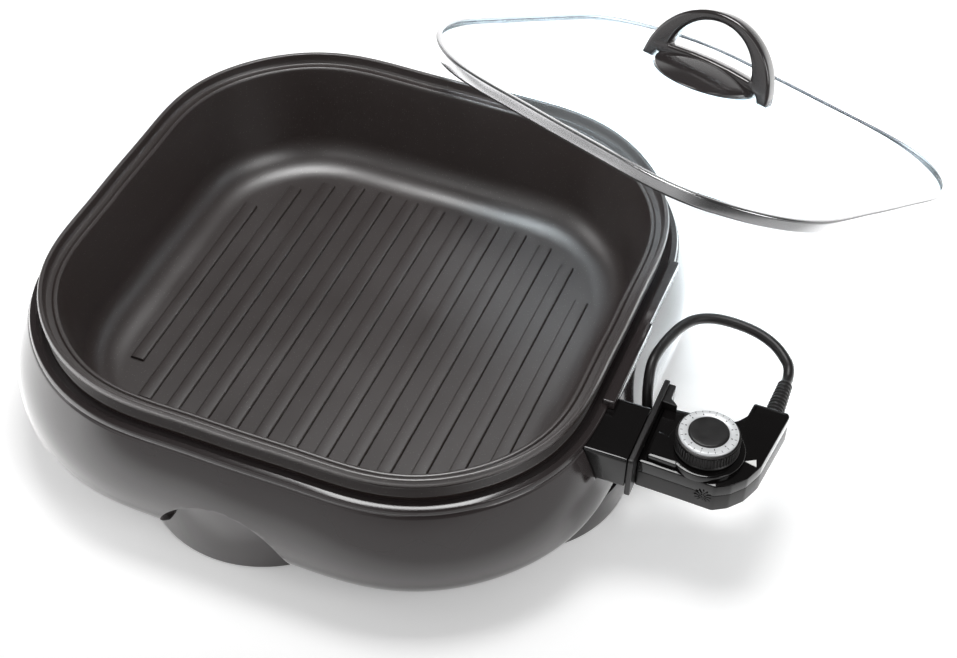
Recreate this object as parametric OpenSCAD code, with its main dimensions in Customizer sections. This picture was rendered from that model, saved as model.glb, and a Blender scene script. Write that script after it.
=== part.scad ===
// Electric skillet: a rounded-square heated pan in a moulded base, with a plug-in
// control probe on its right side and a domed glass lid that leans on the pan's back rim.
// The origin is the centre of the base on the standing surface; the probe is on the +X side.

/* [Pan] */
// Half of the opening, measured across the flats
pan_half = 150; // [146:1:156]
// Strength of the four-fold bulge that makes the plan square
plan_bulge = 0.0762; // [0.072:0.001:0.079]
// Strength of the twelve-fold wave that flattens the sides
plan_flat = 0.0035; // [0.0028:0.0001:0.004]
// Height of the opening's edge
rim_z = 90; // [88:0.5:94]
// Depth from the opening's edge to the pan's floor
pan_depth = 65; // [62:0.5:66]
// Thickness of the floor and of the lower wall
pan_wall = 4; // [3.5:0.1:4.4]
// How far the wall leans in above its rounded corner
wall_lean = 8; // [7:0.5:9]
// Radius between the wall and the floor
floor_corner = 22; // [20:1:24]
// Width of a grill rib
rib_w = 8.5; // [6:0.5:10]
// Distance between the middles of two ribs
rib_pitch = 18.6; // [17:0.1:18.8]
// Height of a rib over the floor
rib_h = 1.8; // [1.2:0.1:2.5]
// Half of the ribbed area
rib_reach = 117; // [108:1:117]
// Corner radius of the ribbed area
rib_corner = 70; // [60:1:80]

/* [Base housing] */
// Height of the housing's top edge
base_top = 81.8; // [81:0.1:82.2]
// Gap under the housing's bottom edge
base_clear = 11; // [10:0.5:11.5]
// Height at which the wall bulges out most
belly_z = 40; // [36:1:42]
// Bulge of the wall beyond the pan's opening
belly_out = 28.5; // [27:0.5:28.5]
// Top edge beyond the pan's opening
rim_out = 17; // [16.5:0.1:17.5]
// Bottom edge beyond the pan's opening
bottom_out = 11.5; // [10.5:0.1:12]
// Thickness of the moulded wall
shell_wall = 2.8; // [2.2:0.1:3]
// Height of the ledge round the pan
ledge_z = 80.2; // [79.9:0.1:80.4]
// Thickness of the ledge
ledge_t = 2; // [1.6:0.1:2.4]
// Depth of the collar that centres the pan
collar_drop = 4; // [3:0.5:5]
// Thickness of the bottom flange
flange_t = 2.4; // [2:0.1:2.6]
// Width of a raised side pad that stands over the ledge
side_pad_w = 7.1; // [6:0.1:7.2]
// Length of a raised side pad
side_pad_len = 120; // [100:1:125]
// Height of a raised side pad over the top edge
side_pad_rise = 2.4; // [1.5:0.1:3]

/* [Feet] */
// Radius of the half-round feet
foot_radius = 68; // [60:1:72]
// Reach of the front and back feet beyond the pan's opening
foot_reach = 22; // [21:0.5:22.5]
// Reach of the left and right feet beyond the pan's opening
side_foot_reach = 29; // [28:0.5:29.5]
// Half width of the arch in the wall over a front or back foot
arch_half = 39.5; // [38:0.5:41]
// Height of that arch's top above the table
arch_top = 51.4; // [50:0.2:53]
// Sideways place of the front and back feet
front_foot_shift = 12; // [8:1:16]
// Sideways place of the right and left feet
side_foot_shift = 40; // [36:1:42]
// Radius of a rubber foot pad
pad_radius = 8; // [6:0.5:8.5]
// Height of a rubber foot pad
pad_h = 2.2; // [1.8:0.1:2.6]
// How far a foot pad sits in its recess
pad_sink = 0.7; // [0.5:0.1:0.9]

/* [Base cover and its screws] */
// Thickness of the bottom cover
cover_t = 1.5; // [1:0.1:1.7]
// Reach of the cover beyond the pan's opening
cover_out = 2; // [1:0.5:2.3]
// Screw places from the middle, along X
screw_x = 60; // [50:1:70]
// Screw places from the middle, along Y
screw_y = 45; // [38:1:50]
// Shank radius of the cover screws
screw_r = 2; // [1.6:0.1:2.2]
// Head radius of the cover screws
screw_head_r = 4; // [3.5:0.1:4.5]
// Head height of the cover screws
screw_head_h = 2.2; // [1.8:0.1:2.4]
// Thread depth in the pan's bosses
screw_bite = 8; // [6:0.5:8.5]

/* [Heating element and terminals] */
// Radius of the element's sheath
element_r = 3.2; // [2.8:0.1:3.3]
// Half width of the element's loop
element_half = 105; // [100:1:108]
// Bend radius of the loop
element_bend = 40; // [36:1:42]
// Height of the terminals
pin_z = 68.5; // [68.2:0.1:68.8]
// Middle of the terminals along the right side
terminal_y = -61; // [-62:0.5:-60]
// Distance between a terminal pin and the sensor sleeve
pin_spread = 12; // [11.5:0.1:12.2]
// Radius of a terminal pin
pin_r = 3.2; // [2.8:0.1:3.2]
// Outer radius of a pin bush
bush_r = 4.6; // [4.4:0.1:4.8]
// Outer radius of the sensor sleeve
sleeve_r = 4; // [3.8:0.1:4.2]
// Bore radius of the sensor sleeve
sleeve_bore = 2.9; // [2.7:0.05:2.95]

/* [Terminal guard] */
// Width of the guard
guard_w = 42; // [41.5:0.1:42.4]
// Height of the guard
guard_h = 21; // [20.6:0.1:21.2]
// Reach of the guard beyond the pan's opening
guard_reach = 38.5; // [38:0.5:38.5]
// Wall of the guard
guard_wall = 2.5; // [2:0.1:2.6]
// Distance between the two guard screws
guard_screw_gap = 10; // [8:1:11]

/* [Lid] */
// Half of the lid across the flats, to the outside of its rim
lid_half = 150.5; // [149.5:0.5:151]
// Width of the rim band
lid_rim_h = 8; // [7:0.5:8]
// Sheet thickness of the rim band
lid_rim_t = 0.8; // [0.6:0.1:0.9]
// Thickness of the glass
glass_t = 4; // [3.5:0.1:4.1]
// Rise of the glass dome
dome_rise = 23; // [21:0.5:24]
// Middle of the lid to the right of the pan's middle
lid_right = 131.5; // [130.5:0.1:132.5]
// Middle of the lid behind the opening's back edge
lid_behind = 75.3; // [75:0.1:76.5]
// Height of the lid's middle
lid_mid_z = 68.9; // [68.8:0.1:70]
// Lean of the lid towards the back
lid_lean = 23.8; // [23.4:0.1:23.9]
// Lean of the lid towards the right
lid_tip = 7; // [6.8:0.1:7.1]
// Turn of the lid about its own axis
lid_turn = -20.7; // [-22:0.1:-20]

/* [Lid handle] */
// Outer radius of the handle's loop
loop_r = 46; // [44:0.5:48]
// Radius of the finger opening
grip_r = 30; // [28:0.5:31]
// Thickness of the loop
loop_t = 12; // [10:0.5:13]
// Direction of the loop on the lid
loop_turn = 8.9; // [0:0.5:15]
// Half width of the handle's plinth
plinth_half_w = 41; // [38:0.5:42]
// Half length of the handle's plinth
plinth_half_l = 34.5; // [32:0.5:36]
// Radius of the dome on the plinth
plinth_dome = 90; // [85:1:100]
// Shank radius of the handle screw
handle_screw_r = 2.4; // [2:0.1:2.6]

/* [Control probe] */
// Thickness of the probe's flange
probe_flange_t = 3; // [2.5:0.1:3.2]
// Wall of the probe's housing
probe_wall = 2.2; // [1.8:0.1:2.4]
// Height of the lower housing
lower_h = 12; // [11:0.5:12]
// Height of the upper housing under its deck
upper_h = 7.8; // [7.5:0.1:8.2]
// Height of the deck round the dial
deck_h = 4; // [3.5:0.1:4.2]
// Radius of the deck round the dial
deck_r = 21; // [20:0.5:21.5]
// Width of the nose that plugs into the guard
nose_w = 36; // [35:0.5:36.2]
// Height of the nose
nose_h = 15; // [14.5:0.1:15.2]
// Length of the nose
nose_len = 10.5; // [10:0.5:10.5]
// Radius of the sensor rod
rod_r = 2.8; // [2.5:0.05:2.85]
// Length of the sensor rod
rod_len = 48; // [46:1:50]

/* [Dial] */
// Radius of the knob
dial_r = 18; // [17:0.5:19]
// Height of the knob
dial_h = 9.9; // [9:0.1:11]
// Number of flutes round the knob
dial_flutes = 36; // [24:2:40]
// Outer radius of the scale ring
ring_r = 16; // [15:0.5:16.5]
// Inner radius of the scale ring
ring_bore = 11; // [10:0.5:12]
// Height of the scale ring and the cap over the knob
ring_h = 1.5; // [1:0.1:2]
// Radius of the dial shaft
shaft_r = 3; // [2.5:0.1:3.5]

/* [Cord] */
// Diameter of the cord
cord_d = 6.2; // [6:0.1:6.4]
// Length of the strain relief outside the housing
relief_len = 27.7; // [27.4:0.1:28]
// Radius of the strain relief at the housing
relief_r = 5.2; // [5:0.1:5.4]
// Number of ribs on the strain relief
relief_ribs = 6; // [4:1:7]
// Radius of the middle of the stored coil's turns
coil_r = 32.5; // [32:0.5:33]
// Layers of cord in the stored coil
coil_turns = 3; // [3:1:3]

/* [Fits] */
// Gap between a piece and the seat that it rests on
seat_gap = 0.3; // [0.2:0.05:0.35]
// Radial clearance of pins, shafts and bushes in their holes
fit_gap = 0.05; // [0.03:0.01:0.08]
// Radial clearance of a screw in a plain hole
screw_gap = 0.2; // [0.15:0.05:0.3]

/* [Hidden] */
$fn = 64;

plan_steps = 64;
cut = 0.5;              // how far a cutting solid runs past the face it opens
bite = 1;               // how far a joined solid reaches into its neighbour

// Pan: the lip's section, outward from the opening's edge and up from it.
lip_under = [[5.2, -5], [5.2, 0], [10.2, 2]];
lip_ridge = [[10.8, 3], [10.8, 5.4], [10, 6.7], [9, 7.05], [8, 6.7], [7.4, 5.4], [7, 1.4]];
lip_groove = [[6.4, 0.6], [3.2, 0.6]];
lip_bead = [[2.4, 1.4], [1.6, 1.6], [0.6, 1.2], [0, 0], [-1.2, -4]];
pan_flange_out = 9;
pan_flange_in = 4.3;
pan_flange_t = 2.5;
pan_seat_z = ledge_z + seat_gap;
floor_z = rim_z - pan_depth;
under_z = floor_z - pan_wall;
floor_in = -wall_lean - floor_corner;
rib_side = 6;           // ribs on each side of the middle one
boss_r = 6;
terminal_boss_w = 38;
terminal_boss_h = 12;
terminal_boss_in = -2;  // its back follows the plan curve inside the pan's wall
terminal_boss_out = 4;

// Base housing
shoulder_z = base_top - 2;
edge_round = [[-0.5, -0.8], [-1.4, -0.2], [-2.6, 0]];
ledge_rise_out = 9.6;
collar_in = 6.5;
collar_t = 2.5;
flange_in = -6;
belly_curve = 2.4;      // power of the lower wall's curve
wall_steps = 5;
side_pad_base = 5.8;    // depth of a side pad's root below the top edge
side_pad_step = 1.3;
side_pad_fore = 50;     // from the middle to a side pad's near end
side_pad_break = 66;    // from that end to the small step
side_pad_out = rim_out + 3.3;
foot_z = pad_h - pad_sink;
foot_low_in = 3.2;
foot_high_in = 14;
foot_top = base_clear + 13;
arch_z = 18;            // height of the arch's middle
arch_shift = 3;
arch_sides = 36;
arch_in = 15.3;
arch_foot_top = arch_top + 2.3;
pad_in = foot_reach - 9.5;

// Cover and screws
cover_z = base_clear - seat_gap - cover_t;
screw_end_z = base_clear + screw_bite;

// Element and terminals
element_z = under_z - seat_gap - element_r;
element_back = 65;      // middle of the loop's bends towards the back
element_front = -33;    // and towards the front
riser_x = pan_half + 8.5;
riser_gap = 0.1;        // between a riser's end and its pin
inner_bend_x = element_half + element_bend;
inner_bend_y = terminal_y + pin_spread + element_bend;
pin_in = 0.5;
pin_out = 31;
bush_len = 6;
sleeve_in = -1;
sleeve_out = 22;

// Guard
guard_in = 13;
guard_x = pan_half + guard_in;
guard_face = pan_half + guard_reach;
tab_h = 10;
tab_w = guard_w - 4;
guard_screw_r = 1.5;
guard_screw_head_r = 3;
guard_screw_head_h = 2.6;
guard_screw_len = 8;
guard_boss_r = 3.5;
guard_boss_len = 7.5;

// Lid, in its own frame: z is 0 at the middle of the rim band.
lid_out = lid_half - pan_half;
lid_grip = 2.5;         // the rim's lips reach this far in over the glass
glass_edge_z = -3;
glass_edge_gap = 0.4;
crown_share = 0.12;     // the dome is flat inside this share of its width, to seat the handle
crown_z = glass_edge_z + glass_t + dome_rise;
handle_gap = 1.2;       // height of the seal between glass and plinth
seal_r = 14;
seal_room = 1.5;         // between the seal and the edge of its pocket
hair_gap = 0.1;
plinth_z = crown_z + hair_gap;
plinth_top = crown_z + 11;
plinth_pocket = handle_gap;
bar_z = crown_z + 3.3;
loop_z = crown_z - 3;
foot_cut_z = crown_z - 1;
grip_z = crown_z + 7;
grip_floor = crown_z + 11;
slot_gap = 0.05;
plinth_sides = 72;
notch_half = plinth_half_l + 4;
washer_r = 8;
washer_t = 1.1;
handle_head_r = 5;
handle_head_h = 2.5;
handle_screw_top = crown_z + 9;

// Probe, in a frame at the flange's outer face, midway between the pins.
flange_gap = 0.5;       // between the guard's face and the flange
flange_x = guard_face + flange_gap + probe_flange_t;
flange_low = -16.5;
flange_high = 11;
flange_fore = -21;
flange_aft = 44;
housing_low = flange_low;
housing_part = housing_low + lower_h;
part_gap = 0.2;
deck_z = housing_part + part_gap + upper_h;
probe_plan = [
    [0, 31], [0, -12], [24, -12.6], [43.5, -13.3], [51, -8.6], [57.6, -0.6], [61, 8],
    [62, 11], [66.5, 51], [65, 53], [46, 53], [45, 42.6], [40, 35]
];
dial_at = [31.7, 7.9];
deck_edge = [4, -9.5];  // where the deck's straight side starts
deck_edge_back = 5;     // and how far before the dial's middle it ends
deck_inset = 0.3;
gusset_plan = [[-2, 30], [10, 29], [4, 34], [3.7, 44], [-2, 44]];
gusset_h = 18;
gusset_drop = 3;        // from the flange's top to the gusset's
socket_r = 4.2;
socket_len = 11;
rod_in = 8;             // how far the rod's root reaches into the housing
socket_out = 2.5;       // how far the receptacles stand out of the nose
probe_posts = [[7, -7.4], [7, 24], [57, 34]];
post_r = 4;
probe_screw_r = 1.5;
probe_screw_head_r = 2.8;
probe_screw_head_h = 2;
probe_screw_rise = 5.5;
pointer_at = [[52.9, 9.6], [58.2, 12.9], [59.6, 8.2]];
pointer_t = 0.4;
bracket_at = [11, 0];
bracket_size = [24, 14, 1.2];
bracket_rise = 11;
strip_t = 0.8;
strip_w = 6;
strip_len = 27;
strip_z = housing_low + probe_wall + 8.5;
leaf_t = 0.4;
leaf_len = 22;
leaf_z = strip_z - 4;
shaft_top = 6;          // how far the shaft reaches up into the knob

// Dial
dial_z = deck_z + deck_h + 0.6;
flute_r = 0.8;
cap_gap = 0.1;

// Cord: the exit is at the strain relief's end face.
relief_x = 57;
relief_y = 53;
relief_neck_r = 4;
relief_neck_len = 5;
relief_end_r = 4.2;
relief_rib_w = 2.4;
relief_core = 0.6;      // how much lower the core is than its ribs
cord_r = cord_d / 2;
cord_exit = [
    flange_x + relief_x, terminal_y + relief_y + seat_gap + relief_len,
    pin_z + housing_part + part_gap / 2
];
lie_z = cord_r + 0.2;
cord_route = [
    cord_exit, cord_exit + [0, 4.5, 0], [247.8, 30, 65.6], [245, 34, 67.4], [237, 41, 69],
    [226, 46, 70], [213, 48.6, 70], [200, 47.6, 70.4], [190, 42.4, 71], [184, 33, 72], [180.4, 21, 73], [178, 7, 74],
    [177.4, -4, 72.6], [179.6, -15, 65.4], [182.4, -21.4, 54], [183, -22.6, 42],
    [182.4, -20.6, 28], [179, -14, 14.6], [173, -3, 6], [167, 9, 3.4], [158, 27, lie_z],
    [146, 50, lie_z], [133, 76, lie_z], [120, 102, lie_z], [107, 128, lie_z],
    [95, 153, lie_z], [85.6, 177, lie_z], [79.4, 199, lie_z + 0.4], [77.6, 212, lie_z + 0.7]
];
cord_sides = 10;
route_steps = 3;
coil_at = [45, 214];
coil_z = 0.9;
coil_gap = 0.2;         // half of the slack between the turns
coil_top = coil_z + coil_turns * cord_d;
tail_y = coil_at.y + coil_r;
plug_front = -8;
plug_z = 7;
tail_route = [
    [coil_at.x + 2, tail_y, coil_top - cord_r], [30, tail_y, 14.2], [16, tail_y, 10],
    [4, tail_y, plug_z + 0.5], [plug_front, tail_y, plug_z]
];
tie_t = 0.7;
tie_w = 6;
tie_gap = 0.2;
plug_len = 30;
plug_w = 25;
plug_h = 2 * plug_z - 1;
plug_round = 3;
blade_gap = 12.7;
blade_len = 16;
blade_w = 6.4;
blade_t = 1.5;
blade_root = 4;

// ---- Helpers ----

// Radius of the plan curve at an angle, and its slope.
function plan_r(a) =
    pan_half / (1 - plan_bulge + plan_flat) * (1 - plan_bulge * cos(4 * a) + plan_flat * cos(12 * a));
function plan_slope(a) =
    pan_half / (1 - plan_bulge + plan_flat) * (4 * plan_bulge * sin(4 * a) - 12 * plan_flat * sin(12 * a));

// A point at distance out beyond the plan curve, along its normal.
function plan_point(a, out) =
    let (
        r = plan_r(a),
        s = plan_slope(a),
        t = [s * cos(a) - r * sin(a), s * sin(a) + r * cos(a)]
    )
    [r * cos(a) + out * t.y / norm(t), r * sin(a) - out * t.x / norm(t)];
function plan_ring(out) = [for (i = [0:plan_steps - 1]) plan_point(360 * i / plan_steps, out)];
function ring_at(out, z) = [for (p = plan_ring(out)) [p.x, p.y, z]];
function scaled_ring(out, share, z) = [for (p = plan_ring(out)) [p.x * share, p.y * share, z]];

// A closed skin over rings of points. A loop joins the last ring to the first.
module skin(rings, loop = false) {
    n = len(rings[0]);
    last = len(rings) - 1;
    sides = [
        for (j = [0:last - (loop ? 0 : 1)])
            for (i = [0:n - 1])
                let (k = (j + 1) % len(rings), m = (i + 1) % n)
                    [j * n + i, k * n + i, k * n + m, j * n + m]
    ];
    caps = loop ? [] : [[for (i = [0:n - 1]) i], [for (i = [0:n - 1]) last * n + n - 1 - i]];
    polyhedron([for (ring = rings) each ring], concat(sides, caps));
}

// A section of [out, height] points swept round the plan curve.
module band(section, loop = false) {
    skin([for (p = section) ring_at(p[0], p[1])], loop);
}

// A smooth curve through hand-chosen points.
function curve_point(p, i, t) =
    let (
        a = p[max(i - 1, 0)],
        b = p[i],
        c = p[i + 1],
        d = p[min(i + 2, len(p) - 1)]
    )
    ((2 * b) + (c - a) * t + (2 * a - 5 * b + 4 * c - d) * pow(t, 2)
        + (3 * b - a - 3 * c + d) * pow(t, 3)) / 2;
function curve(p) = concat(
    [for (i = [0:len(p) - 2]) for (k = [0:route_steps - 1]) curve_point(p, i, k / route_steps)],
    [p[len(p) - 1]]
);
function heading(p, i) =
    let (v = p[min(i + 1, len(p) - 1)] - p[max(i - 1, 0)]) v / norm(v);
// Side directions that follow the curve without twisting.
function side_ways(p, i = 0, way = [0, 0, 1], done = []) =
    i == len(p) ? done :
    let (
        t = heading(p, i),
        v = way - (way * t) * t,
        w = v / norm(v)
    )
    side_ways(p, i + 1, w, concat(done, [w]));

// A round tube along a route.
module tube(route, r) {
    path = curve(route);
    ways = side_ways(path);
    skin([
        for (i = [0:len(path) - 1])
            let (w = ways[i], u = cross(heading(path, i), w))
                [for (k = [0:cord_sides - 1])
                    let (a = 360 * k / cord_sides)
                        path[i] + r * (cos(a) * w + sin(a) * u)]
    ]);
}

module rod_x(r, x0, x1) {
    translate([x0, 0, 0]) rotate([0, 90, 0]) cylinder(r = r, h = x1 - x0);
}

module rod_y(r, y0, y1) {
    translate([0, y0, 0]) rotate([-90, 0, 0]) cylinder(r = r, h = y1 - y0);
}

module four_corners(x, y) {
    for (sx = [-1, 1])
        for (sy = [-1, 1])
            translate([sx * x, sy * y, 0]) children();
}

module terminal_frame() {
    translate([0, terminal_y, pin_z]) children();
}

module each_pin() {
    for (side = [-1, 1])
        translate([0, side * pin_spread, 0]) children();
}

module guard_screw_places() {
    for (side = [-1, 1])
        translate([0, side * guard_screw_gap / 2, -(guard_h + tab_h) / 2]) children();
}

module lid_frame() {
    translate([lid_right, pan_half + lid_behind, lid_mid_z])
        rotate([-lid_lean, 0, 0]) rotate([0, lid_tip, 0]) rotate([0, 0, lid_turn])
            children();
}

module handle_frame() {
    lid_frame() rotate([0, 0, loop_turn]) children();
}

module probe_frame() {
    translate([flange_x, terminal_y, pin_z]) children();
}

module dial_frame() {
    probe_frame() translate([dial_at.x, dial_at.y, 0]) children();
}

// ---- Base ----

function wall_out(z) = z > belly_z
    ? rim_out + (belly_out - rim_out) * sin(90 * (shoulder_z - z) / (shoulder_z - belly_z))
    : bottom_out + (belly_out - bottom_out)
        * (1 - pow((belly_z - z) / (belly_z - base_clear), belly_curve));
function heights(low, high) = [for (k = [0:wall_steps]) low + (high - low) * k / wall_steps];

housing_under = ledge_z - ledge_t;
housing_section = concat(
    [[flange_in, base_clear]],
    [for (z = heights(base_clear, belly_z)) [wall_out(z), z]],
    [for (k = [1:wall_steps]) let (z = heights(belly_z, shoulder_z)[k]) [wall_out(z), z]],
    [for (p = edge_round) [rim_out + p[0], base_top + p[1]]],
    [[ledge_rise_out, ledge_z], [collar_in, ledge_z]],
    [[collar_in, housing_under - collar_drop], [collar_in + collar_t, housing_under - collar_drop]],
    [[collar_in + collar_t, housing_under]],
    [for (k = [0:wall_steps]) let (z = heights(housing_under, belly_z)[k]) [wall_out(z) - shell_wall, z]],
    [for (k = [1:wall_steps])
        let (z = heights(belly_z, base_clear + flange_t)[k]) [wall_out(z) - shell_wall, z]],
    [[flange_in, base_clear + flange_t]]
);

// One foot on the +X side, shifted along the side.
module foot(shift, reach, top) {
    pad_x = pan_half + pad_in;
    difference() {
        translate([pan_half + reach - foot_radius, shift, foot_z])
            cylinder(r = foot_radius, h = top - foot_z);
        foot_cut(shift, foot_low_in, foot_z - cut);
        foot_cut(shift, foot_high_in, base_clear + flange_t / 2);
        translate([pad_x, shift, foot_z - cut])
            cylinder(r = pad_radius + seat_gap, h = pad_sink + seat_gap + cut);
    }
}

// Takes away what lies further in than a distance from the pan's opening, from a height up.
module foot_cut(shift, inner, low) {
    translate([0, shift - foot_radius - cut, low])
        cube([pan_half + inner, 2 * (foot_radius + cut), arch_top + foot_top]);
}

module all_feet() {
    for (turn = [0, 180])
        rotate(turn) foot(-side_foot_shift, side_foot_reach, foot_top);
    for (turn = [-90, 90])
        rotate(turn) foot(-front_foot_shift, foot_reach, arch_foot_top);
}

// Sweeps an arch outwards on the +X side, from a distance beyond the pan's opening.
module arch(from, reach) {
    translate([pan_half + from, -arch_shift, 0])
        rotate([90, 0, 90])
            linear_extrude(reach)
                polygon([for (k = [0:arch_sides - 1])
                    let (a = 360 * k / arch_sides)
                        [arch_half * cos(a), arch_z + (arch_top - arch_z) * sin(a)]]);
}

// The openings in the shell's wall over the front and back feet.
module arch_openings() {
    for (turn = [-90, 90])
        rotate(turn) arch(arch_in, belly_out);
}

module side_pad() {
    out = pan_half + side_pad_out;
    inner = out - side_pad_w;
    translate([0, -side_pad_fore, base_top - side_pad_base])
        linear_extrude(side_pad_base + side_pad_rise)
            polygon([
                [inner, 0], [out, 0], [out, side_pad_break],
                [out - side_pad_step, side_pad_break], [out - side_pad_step, side_pad_len],
                [inner, side_pad_len]
            ]);
}

module base_housing() {
    color("#4a4644")
    difference() {
        union() {
            difference() {
                band(housing_section, true);
                arch_openings();
            }
            all_feet();
            side_pad();
            terminal_frame()
                guard_screw_places()
                    rod_x(guard_boss_r, guard_x + guard_wall + seat_gap,
                        guard_x + guard_wall + seat_gap + guard_boss_len);
        }
        terminal_frame() {
            translate([guard_x, -guard_w / 2 - seat_gap, -guard_h / 2 - seat_gap])
                cube([guard_reach, guard_w + 2 * seat_gap, guard_h + 2 * seat_gap]);
            guard_screw_places()
                rod_x(guard_screw_r + fit_gap, guard_x, guard_x + guard_wall + guard_screw_len - 1);
        }
    }
}

module base_cover() {
    color("#8d9094")
    translate([0, 0, cover_z])
        difference() {
            linear_extrude(cover_t) polygon(plan_ring(cover_out));
            four_corners(screw_x, screw_y)
                translate([0, 0, -cut]) cylinder(r = screw_r + screw_gap, h = cover_t + 2 * cut);
        }
}

module cover_screws() {
    color("#b9bcc0")
    four_corners(screw_x, screw_y) {
        translate([0, 0, cover_z - screw_head_h]) cylinder(r = screw_head_r, h = screw_head_h);
        translate([0, 0, cover_z - bite]) cylinder(r = screw_r, h = screw_end_z - cover_z + bite);
    }
}

module foot_pads() {
    color("#2b2b2b")
    for (spot = [[0, -side_foot_shift], [180, -side_foot_shift],
            [-90, -front_foot_shift], [90, -front_foot_shift]])
        rotate(spot[0])
            translate([pan_half + pad_in, spot[1], 0])
                cylinder(r = pad_radius, h = pad_h - seat_gap);
}

// ---- Pan and element ----

function corner_arc(r, a) = [floor_in + r * cos(a), floor_z + floor_corner - r * sin(a)];

arc_step = 15;
pan_section = concat(
    [for (a = [90:-arc_step:0]) corner_arc(floor_corner + pan_wall, a)],
    [[pan_flange_in, pan_seat_z], [pan_flange_out, pan_seat_z],
        [pan_flange_out, pan_seat_z + pan_flange_t]],
    [for (p = concat(lip_under, lip_ridge, lip_groove, lip_bead)) [p[0], rim_z + p[1]]],
    [for (a = [0:arc_step:90]) corner_arc(floor_corner, a)]
);

function rib_half(x) =
    let (flat = rib_reach - rib_corner, over = max(abs(x) - flat, 0))
    flat + sqrt(pow(rib_corner, 2) - pow(over, 2)) - rib_w / 2;

module grill_ribs() {
    translate([0, 0, floor_z - bite])
        linear_extrude(bite + rib_h)
            for (k = [-rib_side:rib_side]) {
                half = rib_half(k * rib_pitch);
                translate([k * rib_pitch, 0]) {
                    square([rib_w, 2 * half], center = true);
                    for (end = [-1, 1])
                        translate([0, end * half]) circle(rib_w / 2);
                }
            }
}

module terminal_boss() {
    out = pan_half + terminal_boss_out;
    terminal_frame()
        translate([0, 0, -terminal_boss_h / 2 - cut])
            linear_extrude(terminal_boss_h)
                difference() {
                    translate([pan_half - floor_corner, -terminal_boss_w / 2])
                        square([out - pan_half + floor_corner, terminal_boss_w]);
                    translate([0, -terminal_y]) polygon(plan_ring(terminal_boss_in));
                }
}

module pan() {
    color("#3a3634")
    difference() {
        union() {
            band(pan_section);
            grill_ribs();
            four_corners(screw_x, screw_y)
                translate([0, 0, base_clear]) cylinder(r = boss_r, h = under_z - base_clear + bite);
            terminal_boss();
        }
        four_corners(screw_x, screw_y)
            translate([0, 0, base_clear - cut]) cylinder(r = screw_r + fit_gap, h = screw_bite + 2 * cut);
        terminal_frame() {
            each_pin()
                rod_x(bush_r + fit_gap, pan_half + sleeve_in - cut, pan_half + terminal_boss_out + cut);
            rod_x(sleeve_r + fit_gap, pan_half + sleeve_in - seat_gap, pan_half + terminal_boss_out + cut);
        }
    }
}

module element_bend_at(at, from) {
    translate(at)
        rotate(from)
            rotate_extrude(angle = 90) translate([element_bend, 0]) circle(element_r);
}

module heating_element() {
    low_y = terminal_y - pin_spread;
    high_y = terminal_y + pin_spread;
    back_y = element_back + element_bend;
    bend_x = element_half - element_bend;
    color("#9a9da1")
    translate([0, 0, element_z]) {
        translate([0, low_y, 0]) rod_x(element_r, -bend_x, riser_x);
        element_bend_at([-bend_x, low_y + element_bend, 0], 180);
        translate([-element_half, 0, 0]) rod_y(element_r, low_y + element_bend, element_back);
        element_bend_at([-bend_x, element_back, 0], 90);
        translate([0, back_y, 0]) rod_x(element_r, -bend_x, bend_x);
        element_bend_at([bend_x, element_back, 0], 0);
        translate([element_half, 0, 0]) rod_y(element_r, inner_bend_y, element_back);
        element_bend_at([inner_bend_x, inner_bend_y, 0], 180);
        translate([0, high_y, 0]) rod_x(element_r, inner_bend_x, riser_x);
        for (y = [low_y, high_y])
            translate([riser_x, y, 0]) {
                sphere(element_r);
                cylinder(r = element_r, h = pin_z - pin_r - riser_gap - element_z);
            }
    }
}

module terminal_pins() {
    color("#d3d5d8")
    terminal_frame()
        each_pin()
            rod_x(pin_r, pan_half + pin_in, pan_half + pin_out);
}

module pin_bushes() {
    color("#e8e4da")
    terminal_frame()
        each_pin()
            difference() {
                rod_x(bush_r, pan_half + sleeve_in, pan_half + sleeve_in + bush_len);
                rod_x(pin_r + fit_gap, pan_half + pin_in - seat_gap, pan_half + pin_out);
            }
}

module sensor_sleeve() {
    color("#c7c9cc")
    terminal_frame()
        difference() {
            rod_x(sleeve_r, pan_half + sleeve_in, pan_half + sleeve_out);
            rod_x(sleeve_bore, pan_half + sleeve_in + 1, pan_half + sleeve_out + cut);
        }
}

// ---- Terminal guard ----

module terminal_guard() {
    color("#262424")
    terminal_frame()
        difference() {
            union() {
                translate([guard_x, -guard_w / 2, -guard_h / 2])
                    cube([guard_face - guard_x, guard_w, guard_h]);
                translate([guard_x, -tab_w / 2, -guard_h / 2 - tab_h])
                    cube([guard_wall, tab_w, tab_h + bite]);
            }
            translate([guard_x + guard_wall, -guard_w / 2 + guard_wall, -guard_h / 2 + guard_wall])
                cube([guard_reach, guard_w - 2 * guard_wall, guard_h - 2 * guard_wall]);
            each_pin()
                rod_x(pin_r + cut, guard_x - cut, guard_x + guard_wall + cut);
            rod_x(sleeve_r + seat_gap, guard_x - cut, guard_x + guard_wall + cut);
            guard_screw_places()
                rod_x(guard_screw_r + screw_gap, guard_x - cut, guard_x + guard_wall + cut);
        }
}

module guard_screws() {
    color("#b9bcc0")
    terminal_frame()
        guard_screw_places() {
            rod_x(guard_screw_head_r, guard_x - guard_screw_head_h, guard_x);
            rod_x(guard_screw_r, guard_x - bite, guard_x + guard_screw_len);
        }
}

// ---- Lid ----

dome_shares = [1, 0.92, 0.8, 0.64, 0.46, 0.28, crown_share];
function dome_z(share) = dome_rise * (1 - pow(share, 2)) / (1 - pow(crown_share, 2));

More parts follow.
